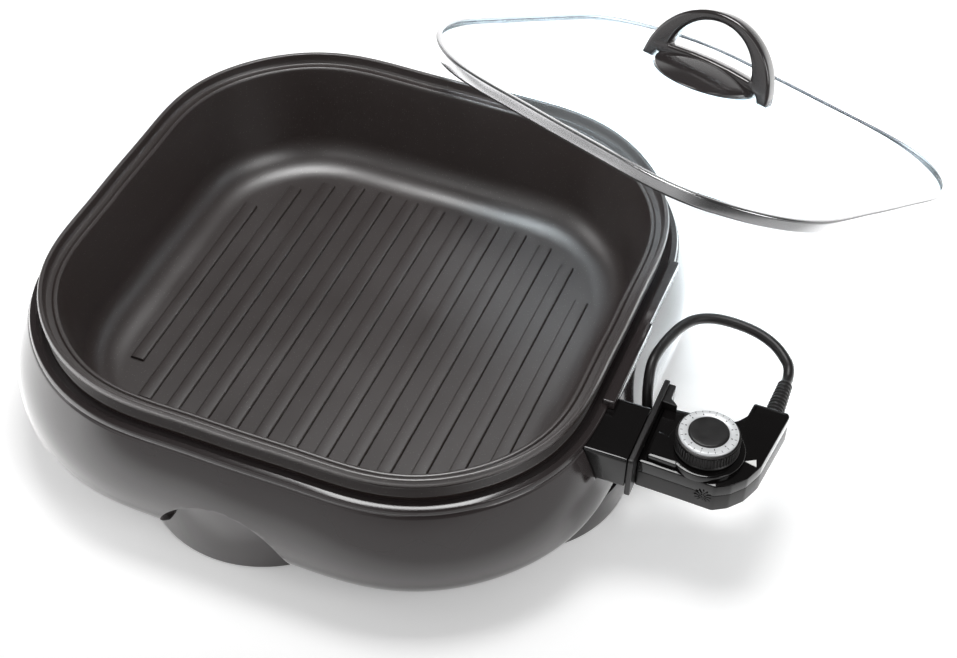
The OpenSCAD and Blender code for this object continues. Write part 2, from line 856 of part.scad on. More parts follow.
module lid_glass() {
    out = lid_out - lid_rim_t - glass_edge_gap;
    color("#cfdde2", 0.4)
    lid_frame()
        difference() {
            skin(concat(
                [for (k = [len(dome_shares) - 1:-1:0])
                    scaled_ring(out, dome_shares[k], glass_edge_z + dome_z(dome_shares[k]))],
                [for (s = dome_shares) scaled_ring(out, s, glass_edge_z + glass_t + dome_z(s))]
            ));
            translate([0, 0, crown_z - glass_t - cut])
                cylinder(r = handle_screw_r + glass_edge_gap, h = glass_t + 2 * cut);
        }
}

module lid_rim() {
    half = lid_rim_h / 2;
    inner = lid_out - lid_rim_t;
    lip = lid_out - lid_rim_t - lid_grip - 1;
    color("#c9ccd0")
    lid_frame()
        band([
            [lid_out, -half], [lid_out, half], [lip, half], [lip, half - lid_rim_t],
            [inner, half - lid_rim_t], [inner, lid_rim_t - half], [lip, lid_rim_t - half], [lip, -half]
        ], true);
}

module handle_bore(low, high) {
    translate([0, 0, low]) cylinder(r = handle_screw_r + fit_gap, h = high - low);
}

// The loop's outline in its own plane: across and up.
module loop_outline() {
    difference() {
        translate([0, loop_z]) circle(loop_r);
        translate([-loop_r, foot_cut_z - 2 * loop_r]) square([2 * loop_r, 2 * loop_r]);
        intersection() {
            translate([0, grip_z]) circle(grip_r);
            translate([-loop_r, grip_floor]) square([2 * loop_r, 2 * loop_r]);
        }
        translate([-notch_half, bar_z - 2 * loop_r]) square([2 * notch_half, 2 * loop_r]);
    }
}

module lid_handle() {
    color("#1d1c1c")
    handle_frame()
        difference() {
            rotate([90, 0, 0])
                linear_extrude(loop_t, center = true) loop_outline();
            handle_bore(bar_z - cut, handle_screw_top + cut);
        }
}

module lid_handle_plinth() {
    color("#1d1c1c")
    handle_frame()
        difference() {
            intersection() {
                translate([0, 0, plinth_z])
                    linear_extrude(plinth_top - plinth_z)
                        polygon([for (k = [0:plinth_sides - 1])
                            let (a = 360 * k / plinth_sides)
                                [plinth_half_l * cos(a), plinth_half_w * sin(a)]]);
                translate([0, 0, plinth_top - plinth_dome]) sphere(plinth_dome, $fn = 240);
            }
            translate([0, 0, plinth_z - cut])
                cylinder(r = seal_r + seal_room, h = plinth_pocket + cut);
            translate([-plinth_half_l, -loop_t / 2 - slot_gap, bar_z - slot_gap])
                cube([2 * plinth_half_l, loop_t + 2 * slot_gap, plinth_top]);
            handle_bore(plinth_z, bar_z + cut);
        }
}

module lid_handle_seal() {
    color("#5a5856")
    handle_frame()
        difference() {
            translate([0, 0, crown_z]) cylinder(r = seal_r, h = handle_gap - hair_gap);
            handle_bore(crown_z - cut, crown_z + handle_gap + cut);
        }
}

module lid_handle_washer() {
    under = crown_z - glass_t;
    color("#b9bcc0")
    handle_frame()
        difference() {
            translate([0, 0, under - seat_gap - washer_t]) cylinder(r = washer_r, h = washer_t);
            handle_bore(under - seat_gap - washer_t - cut, under + cut);
        }
}

module lid_handle_screw() {
    head_z = crown_z - glass_t - seat_gap - washer_t - handle_head_h;
    color("#b9bcc0")
    handle_frame() {
        translate([0, 0, head_z]) cylinder(r = handle_head_r, h = handle_head_h);
        translate([0, 0, head_z + bite])
            cylinder(r = handle_screw_r, h = handle_screw_top - head_z - bite);
    }
}

// ---- Control probe ----

module cord_notch() {
    translate([relief_x, 0, housing_part + part_gap / 2])
        rod_y(relief_neck_r + fit_gap, relief_y - probe_wall - cut, relief_y + cut);
}

module probe_shell(z0, z1) {
    translate([0, 0, z0]) linear_extrude(z1 - z0) polygon(probe_plan);
}

module probe_hollow(z0, z1) {
    translate([0, 0, z0])
        linear_extrude(z1 - z0) offset(delta = -probe_wall) polygon(probe_plan);
}

module each_post() {
    for (p = probe_posts)
        translate([p.x, p.y, 0]) children();
}

module probe_lower_housing() {
    floor_top = housing_low + probe_wall;
    color("#2a2928")
    probe_frame()
        difference() {
            union() {
                difference() {
                    probe_shell(housing_low, housing_part);
                    probe_hollow(floor_top, housing_part + cut);
                }
                each_post()
                    translate([0, 0, floor_top - bite])
                        cylinder(r = post_r, h = housing_part - floor_top + bite);
            }
            each_post() {
                translate([0, 0, housing_low - cut])
                    cylinder(r = probe_screw_r + screw_gap, h = lower_h + 2 * cut);
                translate([0, 0, housing_low - cut])
                    cylinder(r = probe_screw_head_r + screw_gap, h = probe_screw_head_h + cut);
            }
            cord_notch();
        }
}

module deck_plan() {
    intersection() {
        union() {
            translate(dial_at) circle(deck_r);
            translate(deck_edge) square([dial_at.x - deck_edge.x - deck_edge_back, deck_r]);
        }
        offset(delta = -deck_inset) polygon(probe_plan);
    }
}

module probe_upper_housing() {
    low = housing_part + part_gap;
    roof = deck_z - probe_wall;
    color("#181717")
    probe_frame()
        difference() {
            union() {
                difference() {
                    probe_shell(low, deck_z);
                    probe_hollow(low - cut, roof);
                }
                translate([0, 0, deck_z - bite]) linear_extrude(deck_h + bite) deck_plan();
                each_post()
                    translate([0, 0, low]) cylinder(r = post_r, h = roof - low + bite);
            }
            each_post()
                translate([0, 0, low - cut])
                    cylinder(r = probe_screw_r + fit_gap, h = probe_screw_rise - part_gap + cut);
            translate([dial_at.x, dial_at.y, low])
                cylinder(r = shaft_r + fit_gap, h = upper_h + deck_h + 1);
            rod_x(rod_r + fit_gap, -cut, rod_in + seat_gap);
            cord_notch();
        }
}

module probe_flange() {
    color("#2a2928")
    probe_frame()
        difference() {
            union() {
                translate([-probe_flange_t, flange_fore, flange_low])
                    cube([probe_flange_t, flange_aft - flange_fore, flange_high - flange_low]);
                translate([0, 0, flange_high - gusset_h - gusset_drop]) linear_extrude(gusset_h) polygon(gusset_plan);
            }
            rod_x(rod_r + fit_gap, -probe_flange_t - cut, cut);
            probe_shell(flange_low, deck_z + seat_gap);
        }
}

module probe_nose() {
    nose_x = -probe_flange_t - nose_len;
    color("#2a2928")
    probe_frame()
        difference() {
            translate([nose_x, -nose_w / 2, -nose_h / 2]) cube([nose_len, nose_w, nose_h]);
            each_pin()
                rod_x(socket_r + fit_gap, nose_x - cut, nose_x - socket_out + socket_len + seat_gap);
            rod_x(rod_r + fit_gap, nose_x - cut, -probe_flange_t + cut);
        }
}

module pin_receptacles() {
    socket_x = -probe_flange_t - nose_len - socket_out;
    color("#c9a24a")
    probe_frame()
        each_pin()
            difference() {
                rod_x(socket_r, socket_x, socket_x + socket_len);
                rod_x(pin_r + fit_gap, socket_x - cut, socket_x + socket_len - 1);
            }
}

module sensor_rod() {
    tip = rod_in - rod_len;
    color("#cfd1d4")
    probe_frame() {
        rod_x(rod_r, tip + rod_r, rod_in);
        translate([tip + rod_r, 0, 0]) sphere(rod_r);
    }
}

module thermostat_bracket() {
    floor_top = housing_low + probe_wall;
    color("#a8abae")
    probe_frame()
        translate([bracket_at.x, bracket_at.y, floor_top]) {
            cube(bracket_size);
            cube([bracket_size.z, bracket_size.y, bracket_rise]);
        }
}

module strip_at(z, length, t) {
    probe_frame()
        translate([bracket_at.x + bracket_size.z, dial_at.y - strip_w / 2, z])
            cube([length, strip_w, t]);
}

module bimetal_strip() {
    color("#b98a52") strip_at(strip_z, strip_len, strip_t);
}

module contact_leaf() {
    color("#c98f4a") strip_at(leaf_z, leaf_len, leaf_t);
}

module pointer_mark() {
    color("#f2f2f0")
    probe_frame()
        translate([0, 0, deck_z]) linear_extrude(pointer_t) polygon(pointer_at);
}

module probe_screws() {
    color("#b9bcc0")
    probe_frame()
        each_post() {
            translate([0, 0, housing_low]) cylinder(r = probe_screw_head_r, h = probe_screw_head_h);
            translate([0, 0, housing_low])
                cylinder(r = probe_screw_r, h = lower_h + probe_screw_rise - cut);
        }
}

// ---- Dial ----

module dial_knob() {
    color("#1d1c1c")
    dial_frame()
        translate([0, 0, dial_z])
            difference() {
                linear_extrude(dial_h)
                    difference() {
                        circle(dial_r);
                        for (k = [0:dial_flutes - 1])
                            rotate(360 * k / dial_flutes)
                                translate([dial_r + flute_r / 2, 0]) circle(flute_r, $fn = 16);
                    }
                translate([0, 0, -cut]) cylinder(r = shaft_r + fit_gap, h = shaft_top + cut);
            }
}

module dial_ring() {
    color("#c4c7ca")
    dial_frame()
        translate([0, 0, dial_z + dial_h])
            difference() {
                cylinder(r = ring_r, h = ring_h);
                translate([0, 0, -cut]) cylinder(r = ring_bore, h = ring_h + 2 * cut);
            }
}

module dial_cap() {
    color("#161616")
    dial_frame()
        translate([0, 0, dial_z + dial_h]) cylinder(r = ring_bore - cap_gap, h = ring_h + 0.5);
}

module dial_shaft() {
    shaft_low = strip_z + strip_t + seat_gap;
    color("#c4c7ca")
    dial_frame()
        translate([0, 0, shaft_low])
            cylinder(r = shaft_r, h = dial_z + shaft_top - seat_gap - shaft_low);
}

// ---- Cord ----

module strain_relief() {
    rib_step = (relief_len - relief_rib_w) / (relief_ribs - 1);
    color("#171717")
    probe_frame()
        translate([relief_x, relief_y + seat_gap, housing_part + part_gap / 2]) {
            rod_y(relief_neck_r, -relief_neck_len, bite);
            rotate([-90, 0, 0])
                cylinder(r1 = relief_r - relief_core, r2 = relief_end_r - relief_core, h = relief_len);
            for (k = [0:relief_ribs - 1])
                rod_y(relief_r - (relief_r - relief_end_r) * k / (relief_ribs - 1),
                    k * rib_step, k * rib_step + relief_rib_w);
        }
}

module cord_lead() {
    color("#141414") tube(cord_route, cord_r);
}

module cord_coil() {
    inner = coil_r - cord_r - coil_gap;
    outer = coil_r + cord_r + coil_gap;
    color("#141414")
    translate([coil_at.x, coil_at.y, coil_z])
        difference() {
            cylinder(r = outer, h = coil_top - coil_z);
            translate([0, 0, -cut]) cylinder(r = inner, h = coil_top - coil_z + 2 * cut);
        }
}

module cord_tail() {
    color("#141414") tube(tail_route, cord_r);
}

module coil_tie() {
    width = cord_d + 2 * coil_gap + 2 * tie_gap;
    height = coil_top + tie_gap;
    color("#e4e4e2")
    translate([coil_at.x - coil_r - width / 2, coil_at.y - tie_w / 2, 0])
        difference() {
            translate([-tie_t, 0, 0]) cube([width + 2 * tie_t, tie_w, height + tie_t]);
            translate([0, -cut, tie_t]) cube([width, tie_w + 2 * cut, height - tie_t]);
        }
}

module plug_body() {
    color("#171717")
    difference() {
        translate([plug_front - plug_len, tail_y - plug_w / 2 + plug_round, plug_z - plug_h / 2])
            linear_extrude(plug_h)
                hull()
                    for (y = [0, plug_w - 2 * plug_round])
                        translate([0, y]) {
                            translate([plug_round, 0]) circle(plug_round, $fn = 32);
                            translate([plug_len - plug_round, 0]) circle(plug_round, $fn = 32);
                        }
        each_blade(blade_root + fit_gap, fit_gap);
    }
}

module each_blade(root, gap) {
    for (side = [-1, 1])
        translate([
            plug_front - plug_len - blade_len,
            tail_y + side * blade_gap / 2 - blade_t / 2 - gap, plug_z - blade_w / 2 - gap
        ])
            cube([blade_len + root, blade_t + 2 * gap, blade_w + 2 * gap]);
}

module plug_blades() {
    color("#c9b27a") each_blade(blade_root, 0);
}

base_housing();
base_cover();
cover_screws();
foot_pads();
pan();
heating_element();
terminal_pins();
pin_bushes();
sensor_sleeve();
terminal_guard();
guard_screws();
lid_glass();
lid_rim();
lid_handle();
lid_handle_plinth();
lid_handle_seal();
lid_handle_washer();
lid_handle_screw();
probe_lower_housing();
probe_upper_housing();
probe_flange();
probe_nose();
pin_receptacles();
sensor_rod();
thermostat_bracket();
bimetal_strip();
contact_leaf();
pointer_mark();
probe_screws();
dial_knob();
dial_ring();
dial_cap();
dial_shaft();
strain_relief();
cord_lead();
cord_coil();
cord_tail();
coil_tie();
plug_body();
plug_blades();
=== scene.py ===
import math
import bpy
import bmesh
from mathutils import Matrix, Vector
from mathutils.geometry import tessellate_polygon


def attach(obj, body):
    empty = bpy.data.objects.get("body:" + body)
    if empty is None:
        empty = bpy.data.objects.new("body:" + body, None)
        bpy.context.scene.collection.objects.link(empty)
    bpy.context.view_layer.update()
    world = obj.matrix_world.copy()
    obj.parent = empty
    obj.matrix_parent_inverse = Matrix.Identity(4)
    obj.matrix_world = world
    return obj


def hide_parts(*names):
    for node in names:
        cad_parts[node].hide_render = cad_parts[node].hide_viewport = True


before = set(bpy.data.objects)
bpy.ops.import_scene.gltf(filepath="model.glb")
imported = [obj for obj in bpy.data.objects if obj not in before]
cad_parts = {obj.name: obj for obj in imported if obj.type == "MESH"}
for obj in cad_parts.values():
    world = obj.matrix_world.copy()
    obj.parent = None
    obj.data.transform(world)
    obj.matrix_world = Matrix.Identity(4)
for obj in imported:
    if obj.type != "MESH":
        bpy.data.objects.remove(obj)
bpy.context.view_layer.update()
print("frame loaded:", len(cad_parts), "nodes")

mm = 0.001  # the pieces' sizes are in millimetres until a mesh is made
tau = 2 * math.pi


def linearColour(hexCode):
    channels = [int(hexCode[i:i + 2], 16) / 255 for i in (1, 3, 5)]
    return [c / 12.92 if c <= 0.04045 else ((c + 0.055) / 1.055) ** 2.4 for c in channels] + [1.0]


def movedTo(place):
    return Matrix.Translation(Vector(place) * mm)


def raisedBy(height):
    return Matrix.Translation((0, 0, height * mm))


def turnedBy(degrees, axis):
    return Matrix.Rotation(math.radians(degrees), 4, axis)


def addNode(tree, kind, inputs=None, **settings):
    # an input is a value, a socket, or a node whose first live output is linked
    node = tree.nodes.new(kind)
    for name, value in settings.items():
        setattr(node, name, value)
    for key, value in (inputs or {}).items():
        sockets = [s for i, s in enumerate(node.inputs) if key in (s.name, s.identifier, i)]
        socket = next((s for s in sockets if s.enabled), sockets[0])
        if isinstance(value, bpy.types.Node):
            value = next(s for s in value.outputs if s.enabled)
        if isinstance(value, bpy.types.NodeSocket):
            tree.links.new(value, socket)
        else:
            socket.default_value = value
    return node


def makeObject(name, mesh):
    piece = bpy.data.objects.new(name, mesh)
    bpy.context.scene.collection.objects.link(piece)
    return piece


def smoothMesh(mesh, sharp=38):
    for face in mesh.polygons:
        face.use_smooth = True
    mesh.set_sharp_from_angle(angle=math.radians(sharp))


def makeMesh(name, points, faces, matrix=None, sharp=38, recalc=True):
    mesh = bpy.data.meshes.new(name)
    mesh.from_pydata([Vector(p) * mm for p in points], [], faces)
    if matrix is not None:
        mesh.transform(matrix)
    if recalc:
        work = bmesh.new()
        work.from_mesh(mesh)
        bmesh.ops.remove_doubles(work, verts=work.verts, dist=1e-7)
        bmesh.ops.recalc_face_normals(work, faces=work.faces)
        work.to_mesh(mesh)
        work.free()
    smoothMesh(mesh, sharp)
    return makeObject(name, mesh)


def joinPieces(name, pieces):
    work = bmesh.new()
    for piece in pieces:
        work.from_mesh(piece.data)
        bpy.data.objects.remove(piece)
    mesh = bpy.data.meshes.new(name)
    work.to_mesh(mesh)
    work.free()
    smoothMesh(mesh)
    return makeObject(name, mesh)


def applyModifiers(piece):
    graph = bpy.context.evaluated_depsgraph_get()
    mesh = bpy.data.meshes.new_from_object(piece.evaluated_get(graph))
    piece.modifiers.clear()
    piece.data = mesh
    smoothMesh(mesh)
    return piece


def softenEdges(piece, width, segments, angle):
    edge = piece.modifiers.new("edge", "BEVEL")
    edge.width, edge.segments = width * mm, segments
    edge.limit_method, edge.angle_limit = "ANGLE", math.radians(angle)
    return applyModifiers(piece)


def cutWith(piece, cutter):
    cut = piece.modifiers.new("cut", "BOOLEAN")
    cut.operation, cut.object, cut.solver = "DIFFERENCE", cutter, "EXACT"
    applyModifiers(piece)
    bpy.data.objects.remove(cutter)
    return piece


def put(piece, body, slotName, material, *nodes):
    piece.data.materials.clear()
    piece.data.materials.append(material)
    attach(piece, body)
    if nodes:
        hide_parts(*nodes)
    return piece


def arcPoints(radius, start, end, steps, centre=(0, 0)):
    angles = [start + (end - start) * k / steps for k in range(steps + 1)]
    return [(centre[0] + radius * math.cos(a), centre[1] + radius * math.sin(a)) for a in angles]


def arcCorners(points, radius):
    # an arc as corners for roundCorners, rounded only where it ends
    return [(x, y, radius if k in (0, len(points) - 1) else 0) for k, (x, y) in enumerate(points)]


def roundCorners(corners, steps=4, closed=True):
    # corners are (x, y, radius)
    out = []
    count = len(corners)
    for i, (x, y, radius) in enumerate(corners):
        here = Vector((x, y))
        if radius == 0 or (not closed and i in (0, count - 1)):
            out.append((x, y))
            continue
        back = Vector(corners[i - 1][:2]) - here
        ahead = Vector(corners[(i + 1) % count][:2]) - here
        half = back.angle(ahead) / 2
        reach = min(radius / math.tan(half), 0.48 * back.length, 0.48 * ahead.length)
        start, end = here + back.normalized() * reach, here + ahead.normalized() * reach
        for k in range(steps + 1):
            s = k / steps
            p = start * (1 - s) ** 2 + here * 2 * s * (1 - s) + end * s * s
            out.append((p.x, p.y))
    return out


def roundedBox(x, y, radius):
    return roundCorners([(x[0], y[0], radius), (x[1], y[0], radius),
                         (x[1], y[1], radius), (x[0], y[1], radius)], 4)


def insetLoop(loop, inset):
    # moves a loop to its left: inwards where it runs anticlockwise
    out = []
    for i, p in enumerate(loop):
        before = (Vector(p) - Vector(loop[i - 1])).normalized()
        after = (Vector(loop[(i + 1) % len(loop)]) - Vector(p)).normalized()
        way = Vector((-before.y - after.y, before.x + after.x))
        if way.length < 1e-6:
            way = Vector((-before.y, before.x))
        way.normalize()
        share = max(way.dot(Vector((-before.y, before.x))), 0.4)
        q = Vector(p) + way * inset / share
        out.append((q.x, q.y))
    return out


def stack(name, loops, profile, matrix=None, sharp=38):
    # loops of one outline, piled up by (inset, height), with both ends filled
    points, faces, ends = [], [], []
    for loop in loops:
        first = len(points)
        count = len(loop)
        for inset, height in profile:
            points += [(x, y, height) for x, y in insetLoop(loop, inset)]
        for j in range(len(profile) - 1):
            for i in range(count):
                k = (i + 1) % count
                a, b = first + j * count, first + (j + 1) * count
                faces.append((a + i, a + k, b + k, b + i))
        ends.append((first, first + (len(profile) - 1) * count, count))
    for which in (0, 1):
        rims = [[Vector(points[e[which] + i]) for i in range(e[2])] for e in ends]
        places = [e[which] + i for e in ends for i in range(e[2])]
        faces += [tuple(places[i] for i in tri) for tri in tessellate_polygon(rims)]
    return makeMesh(name, points, faces, matrix, sharp)


def slabProfile(low, high, bevel, bevelLow=None, steps=4):
    # a slab's edge as (inset, height), rounded below and above
    under = bevel if bevelLow is None else bevelLow
    angles = [math.pi / 2 * k / steps for k in range(steps + 1)]
    rise = [(under * (1 - math.sin(a)), low + under * (1 - math.cos(a))) for a in angles]
    return rise + [(bevel * (1 - math.cos(a)), high - bevel * (1 - math.sin(a))) for a in angles]


def cutBox(piece, box):
    (x0, x1), (y0, y1), (z0, z1) = box["x"], box["y"], box["z"]
    return cutWith(piece, stack("cutter", [[(x0, y0), (x1, y0), (x1, y1), (x0, y1)]], [(0, z0), (0, z1)]))


def lathe(name, profile, matrix, steps=96):
    # profile of (radius, height); a zero radius closes on the axis
    points, faces, rows = [], [], []
    for radius, height in profile:
        count = 1 if radius == 0 else steps
        rows.append((len(points), count))
        points += [(radius * math.cos(tau * i / steps), radius * math.sin(tau * i / steps), height)
                   for i in range(count)]
    for (a, na), (b, nb) in zip(rows, rows[1:]):
        for i in range(steps):
            k = (i + 1) % steps
            face = [a + i % na, a + k % na, b + k % nb, b + i % nb]
            faces.append(tuple(dict.fromkeys(face)))
    return makeMesh(name, points, faces, matrix)


def smoothPath(points, steps):
    out = []
    last = len(points) - 1
    for i in range(last):
        a, b, c, d = (Vector(points[max(0, min(last, j))]) for j in (i - 1, i, i + 1, i + 2))
        for k in range(steps):
            t = k / steps
            out.append((2 * b + (c - a) * t + (2 * a - 5 * b + 4 * c - d) * t * t
                        + (3 * b - a - 3 * c + d) * t ** 3) / 2)
    out.append(Vector(points[-1]))
    return out


def sweepTube(name, path, radius, sides=14):
    points, faces = [], []
    way = Vector((0, 0, 1))
    last = len(path) - 1
    for i, p in enumerate(path):
        along = (path[min(i + 1, last)] - path[max(i - 1, 0)]).normalized()
        way = (way - along * way.dot(along)).normalized()
        side = along.cross(way)
        points += [p + radius * (math.cos(tau * k / sides) * way + math.sin(tau * k / sides) * side)
                   for k in range(sides)]
    for i in range(last):
        for k in range(sides):
            n = (k + 1) % sides
            faces.append((i * sides + k, i * sides + n, (i + 1) * sides + n, (i + 1) * sides + k))
    faces.append(tuple(range(sides)))
    faces.append(tuple(last * sides + k for k in reversed(range(sides))))
    return makeMesh(name, points, faces, sharp=60)


# Geometry Nodes: a tree with named inputs, whose result growTree turns into plain mesh
def newTree(name, inputs):
    tree = bpy.data.node_groups.new(name, "GeometryNodeTree")
    kinds = {int: "NodeSocketInt", float: "NodeSocketFloat", "material": "NodeSocketMaterial",
             "vector": "NodeSocketVector"}
    for label, kind in inputs.items():
        tree.interface.new_socket(name=label, in_out="INPUT", socket_type=kinds[kind])
    tree.interface.new_socket(name="Geometry", in_out="OUTPUT", socket_type="NodeSocketGeometry")
    return tree, addNode(tree, "NodeGroupInput").outputs


def closeTree(tree, given, geometry):
    whole = addNode(tree, "GeometryNodeRealizeInstances", {"Geometry": geometry})
    dressed = addNode(tree, "GeometryNodeSetMaterial", {"Geometry": whole, "Material": given["Material"]})
    addNode(tree, "NodeGroupOutput", {"Geometry": dressed})
    return tree


def growTree(name, tree, values, matrix=None):
    piece = makeObject(name, bpy.data.meshes.new(name))
    modifier = piece.modifiers.new(name, "NODES")
    modifier.node_group = tree
    sockets = {s.name: s.identifier for s in tree.interface.items_tree if s.in_out == "INPUT"}
    for label, value in values.items():
        modifier[sockets[label]] = value
    applyModifiers(piece)
    if matrix is not None:
        piece.data.transform(matrix)
    smoothMesh(piece.data)
    return piece


# Camera: its place in metres and its three axes
cameraView = {
    "place": (0.33740, -0.72053, 0.82654),
    "right": (0.92826, 0.37086, 0.02816),
    "up": (-0.28147, 0.65099, 0.70497),
    "back": (0.24312, -0.66232, 0.70868),
    "lens": 71.07,
}
camera = bpy.data.objects.new("camera", bpy.data.cameras.new("camera"))
camera.data.lens = cameraView["lens"]
camera.data.sensor_width = 36
camera.data.sensor_fit = "HORIZONTAL"
camera.data.clip_start = 0.02
cameraTurn = Matrix((cameraView["right"], cameraView["up"], cameraView["back"])).transposed().to_4x4()
camera.matrix_world = Matrix.Translation(cameraView["place"]) @ cameraTurn
bpy.context.scene.collection.objects.link(camera)
bpy.context.scene.camera = camera
bpy.context.scene.view_settings.view_transform = "Standard"
print("camera placed")


def newMaterial(name):
    material = bpy.data.materials.new(name)
    material.use_nodes = True
    tree = material.node_tree
    tree.nodes.clear()
    return material, tree, addNode(tree, "ShaderNodeTexCoord").outputs["Object"]


def closeMaterial(tree, inputs):
    shader = addNode(tree, "ShaderNodeBsdfPrincipled", inputs)
    addNode(tree, "ShaderNodeOutputMaterial", {"Surface": shader})


def grainAndGloss(tree, place, gloss, drift, grain, depth, details=(3.0, 2.0)):
    # gloss drifts slowly over a fine grain in the bump; drift, grain and depth are in millimetres
    slow = addNode(tree, "ShaderNodeTexNoise", {"Vector": place, "Scale": 1 / (drift * mm),
                                                "Detail": details[0]})
    fine = addNode(tree, "ShaderNodeTexNoise", {"Vector": place, "Scale": 1 / (grain * mm),
                                                "Detail": details[1]})
    rough = addNode(tree, "ShaderNodeMapRange", {"Value": slow, "From Min": 0.3, "From Max": 0.7,
                                                 "To Min": gloss[0], "To Max": gloss[1]})
    bump = addNode(tree, "ShaderNodeBump", {"Height": fine, "Distance": depth * mm, "Strength": 1.0})
    return slow, {"Roughness": rough, "Normal": bump}


# A moulded or rolled surface: a fine grain, and slow drifts in colour and gloss
def mouldedFinish(name, dark, light, gloss, grain, depth, drift=45, **extra):
    material, tree, place = newMaterial(name)
    slow, finish = grainAndGloss(tree, place, gloss, drift, grain, depth)
    tone = addNode(tree, "ShaderNodeMix", {"Factor": slow, "A": linearColour(dark),
                                           "B": linearColour(light)}, data_type="RGBA")
    closeMaterial(tree, {"Base Color": tone, **finish, **extra})
    return material


# Phenolic housing: compression moulded, dark brown-grey, with an even satin gloss
phenolic = mouldedFinish("glossy phenolic", "#2a2525", "#302a2a", (0.12, 0.17), 2.0, 0.003, IOR=1.65)
# Black nylon, textured by a fine spark-eroded mould: dull, with a close grain
blackNylon = mouldedFinish("black nylon", "#141212", "#191717", (0.36, 0.46), 0.5, 0.02)
# Black ABS from a polished mould: near mirror gloss
glossAbs = mouldedFinish("polished black ABS", "#0c0b0b", "#110f0f", (0.08, 0.13), 3.0, 0.004)
# Black ABS from a coarsely etched mould: a fine sparkle on the dial's cap
capGrain = mouldedFinish("etched black ABS", "#100f0f", "#1b1a1a", (0.3, 0.42), 0.55, 0.09, 6)
# Polished phenolic handle: hard and smooth, with clear highlights on a dark grey body
handlePhenolic = mouldedFinish("polished black phenolic", "#2c2929", "#353131", (0.11, 0.16), 2.0, 0.004,
                               IOR=1.8)
# PVC jacket: a softer sheen over a fine grain
pvcJacket = mouldedFinish("black PVC jacket", "#191818", "#201e1e", (0.34, 0.44), 0.8, 0.02)
# Silicone rubber seal: matt grey
siliconeGrey = mouldedFinish("grey silicone rubber", "#4a4a4a", "#565656", (0.5, 0.6), 0.6, 0.02)
# Moulded rubber feet: the dullest black on the base
footRubber = mouldedFinish("moulded foot rubber", "#171717", "#222222", (0.65, 0.75), 0.6, 0.04)
# Unglazed steatite: chalky, off-white ceramic
steatite = mouldedFinish("unglazed steatite", "#d8d0c0", "#e4ddcf", (0.6, 0.7), 0.4, 0.02)
# Natural nylon: a milky tie with a slight sheen
whiteNylon = mouldedFinish("natural nylon tie", "#cfcfcb", "#dededa", (0.35, 0.45), 1.0, 0.02)
# Pad-printed ink: flat white
markInk = mouldedFinish("white printing ink", "#e2e2e0", "#f0f0ee", (0.4, 0.5), 0.6, 0.01)
# Zinc plate: cool grey, slightly cloudy
zincSteel = mouldedFinish("zinc plated steel", "#a9adb2", "#c2c5c8", (0.26, 0.36), 1.2, 0.01, 12,
                          Metallic=1.0)
# Nickel plate: warm and bright
nickelSteel = mouldedFinish("nickel plated steel", "#b9b6ae", "#cfccc4", (0.16, 0.26), 1.0, 0.006, 15,
                            Metallic=1.0)
# Sheath of the element: steel browned by heat
sheathSteel = mouldedFinish("heat tinted sheath steel", "#57524c", "#7a7268", (0.38, 0.5), 0.8, 0.02, 25,
                            Metallic=1.0)
# Stamped brass: yellow, with a satin face
brassStrip = mouldedFinish("stamped brass", "#b8904a", "#cfa65c", (0.25, 0.36), 1.0, 0.01, 10, Metallic=1.0)
# Silver foil on the dial: a pale satin silver, only partly metallic
silverFoil = mouldedFinish("silver scale foil", "#d4d6d8", "#e4e6e7", (0.3, 0.38), 0.5, 0.008, 8,
                           Metallic=0.25)
# Rolled aluminium sheet under the base: soft grey shine
coverSheet = mouldedFinish("rolled aluminium sheet", "#9b9d9f", "#b4b6b8", (0.34, 0.44), 1.5, 0.02, 20,
                           Metallic=1.0)

coatSizes = {"drift": 60, "pebble": 0.9, "depth": 0.03, "fleck": 1.3, "bare": 0.62, "fleckEdge": (0.1, 0.2)}
glassSizes = {"wave": 70, "depth": 0.05, "haze": 0.02}
bandSizes = {"drift": 40, "grain": 0.8, "depth": 0.004}


# Nonstick coat on cast aluminium: near black with fine pale mineral flecks and a pebbled skin
def coatedAluminium():
    s = coatSizes
    material, tree, place = newMaterial("speckled nonstick coat")
    slow, finish = grainAndGloss(tree, place, (0.35, 0.43), s["drift"], s["pebble"], s["depth"], (4.0, 2.0))
    fleck = addNode(tree, "ShaderNodeTexVoronoi", {"Vector": place, "Scale": 1 / (s["fleck"] * mm)})
    size = addNode(tree, "ShaderNodeMapRange", {
        "Value": fleck.outputs["Distance"], "From Min": s["fleckEdge"][0], "From Max": s["fleckEdge"][1],
        "To Min": 1.0, "To Max": 0.0})
    pick = addNode(tree, "ShaderNodeSeparateColor", {"Color": fleck.outputs["Color"]})
    some = addNode(tree, "ShaderNodeMath", {0: pick, 1: s["bare"]}, operation="GREATER_THAN")
    share = addNode(tree, "ShaderNodeMath", {0: size, 1: some}, operation="MULTIPLY")
    ground = addNode(tree, "ShaderNodeMix", {"Factor": slow, "A": linearColour("#241a17"),
                                             "B": linearColour("#2b201e")}, data_type="RGBA")
    tone = addNode(tree, "ShaderNodeMix", {"Factor": share, "A": ground, "B": linearColour("#736f6d")},
                   data_type="RGBA")
    closeMaterial(tree, {"Base Color": tone, **finish, "IOR": 2.1})
    return material


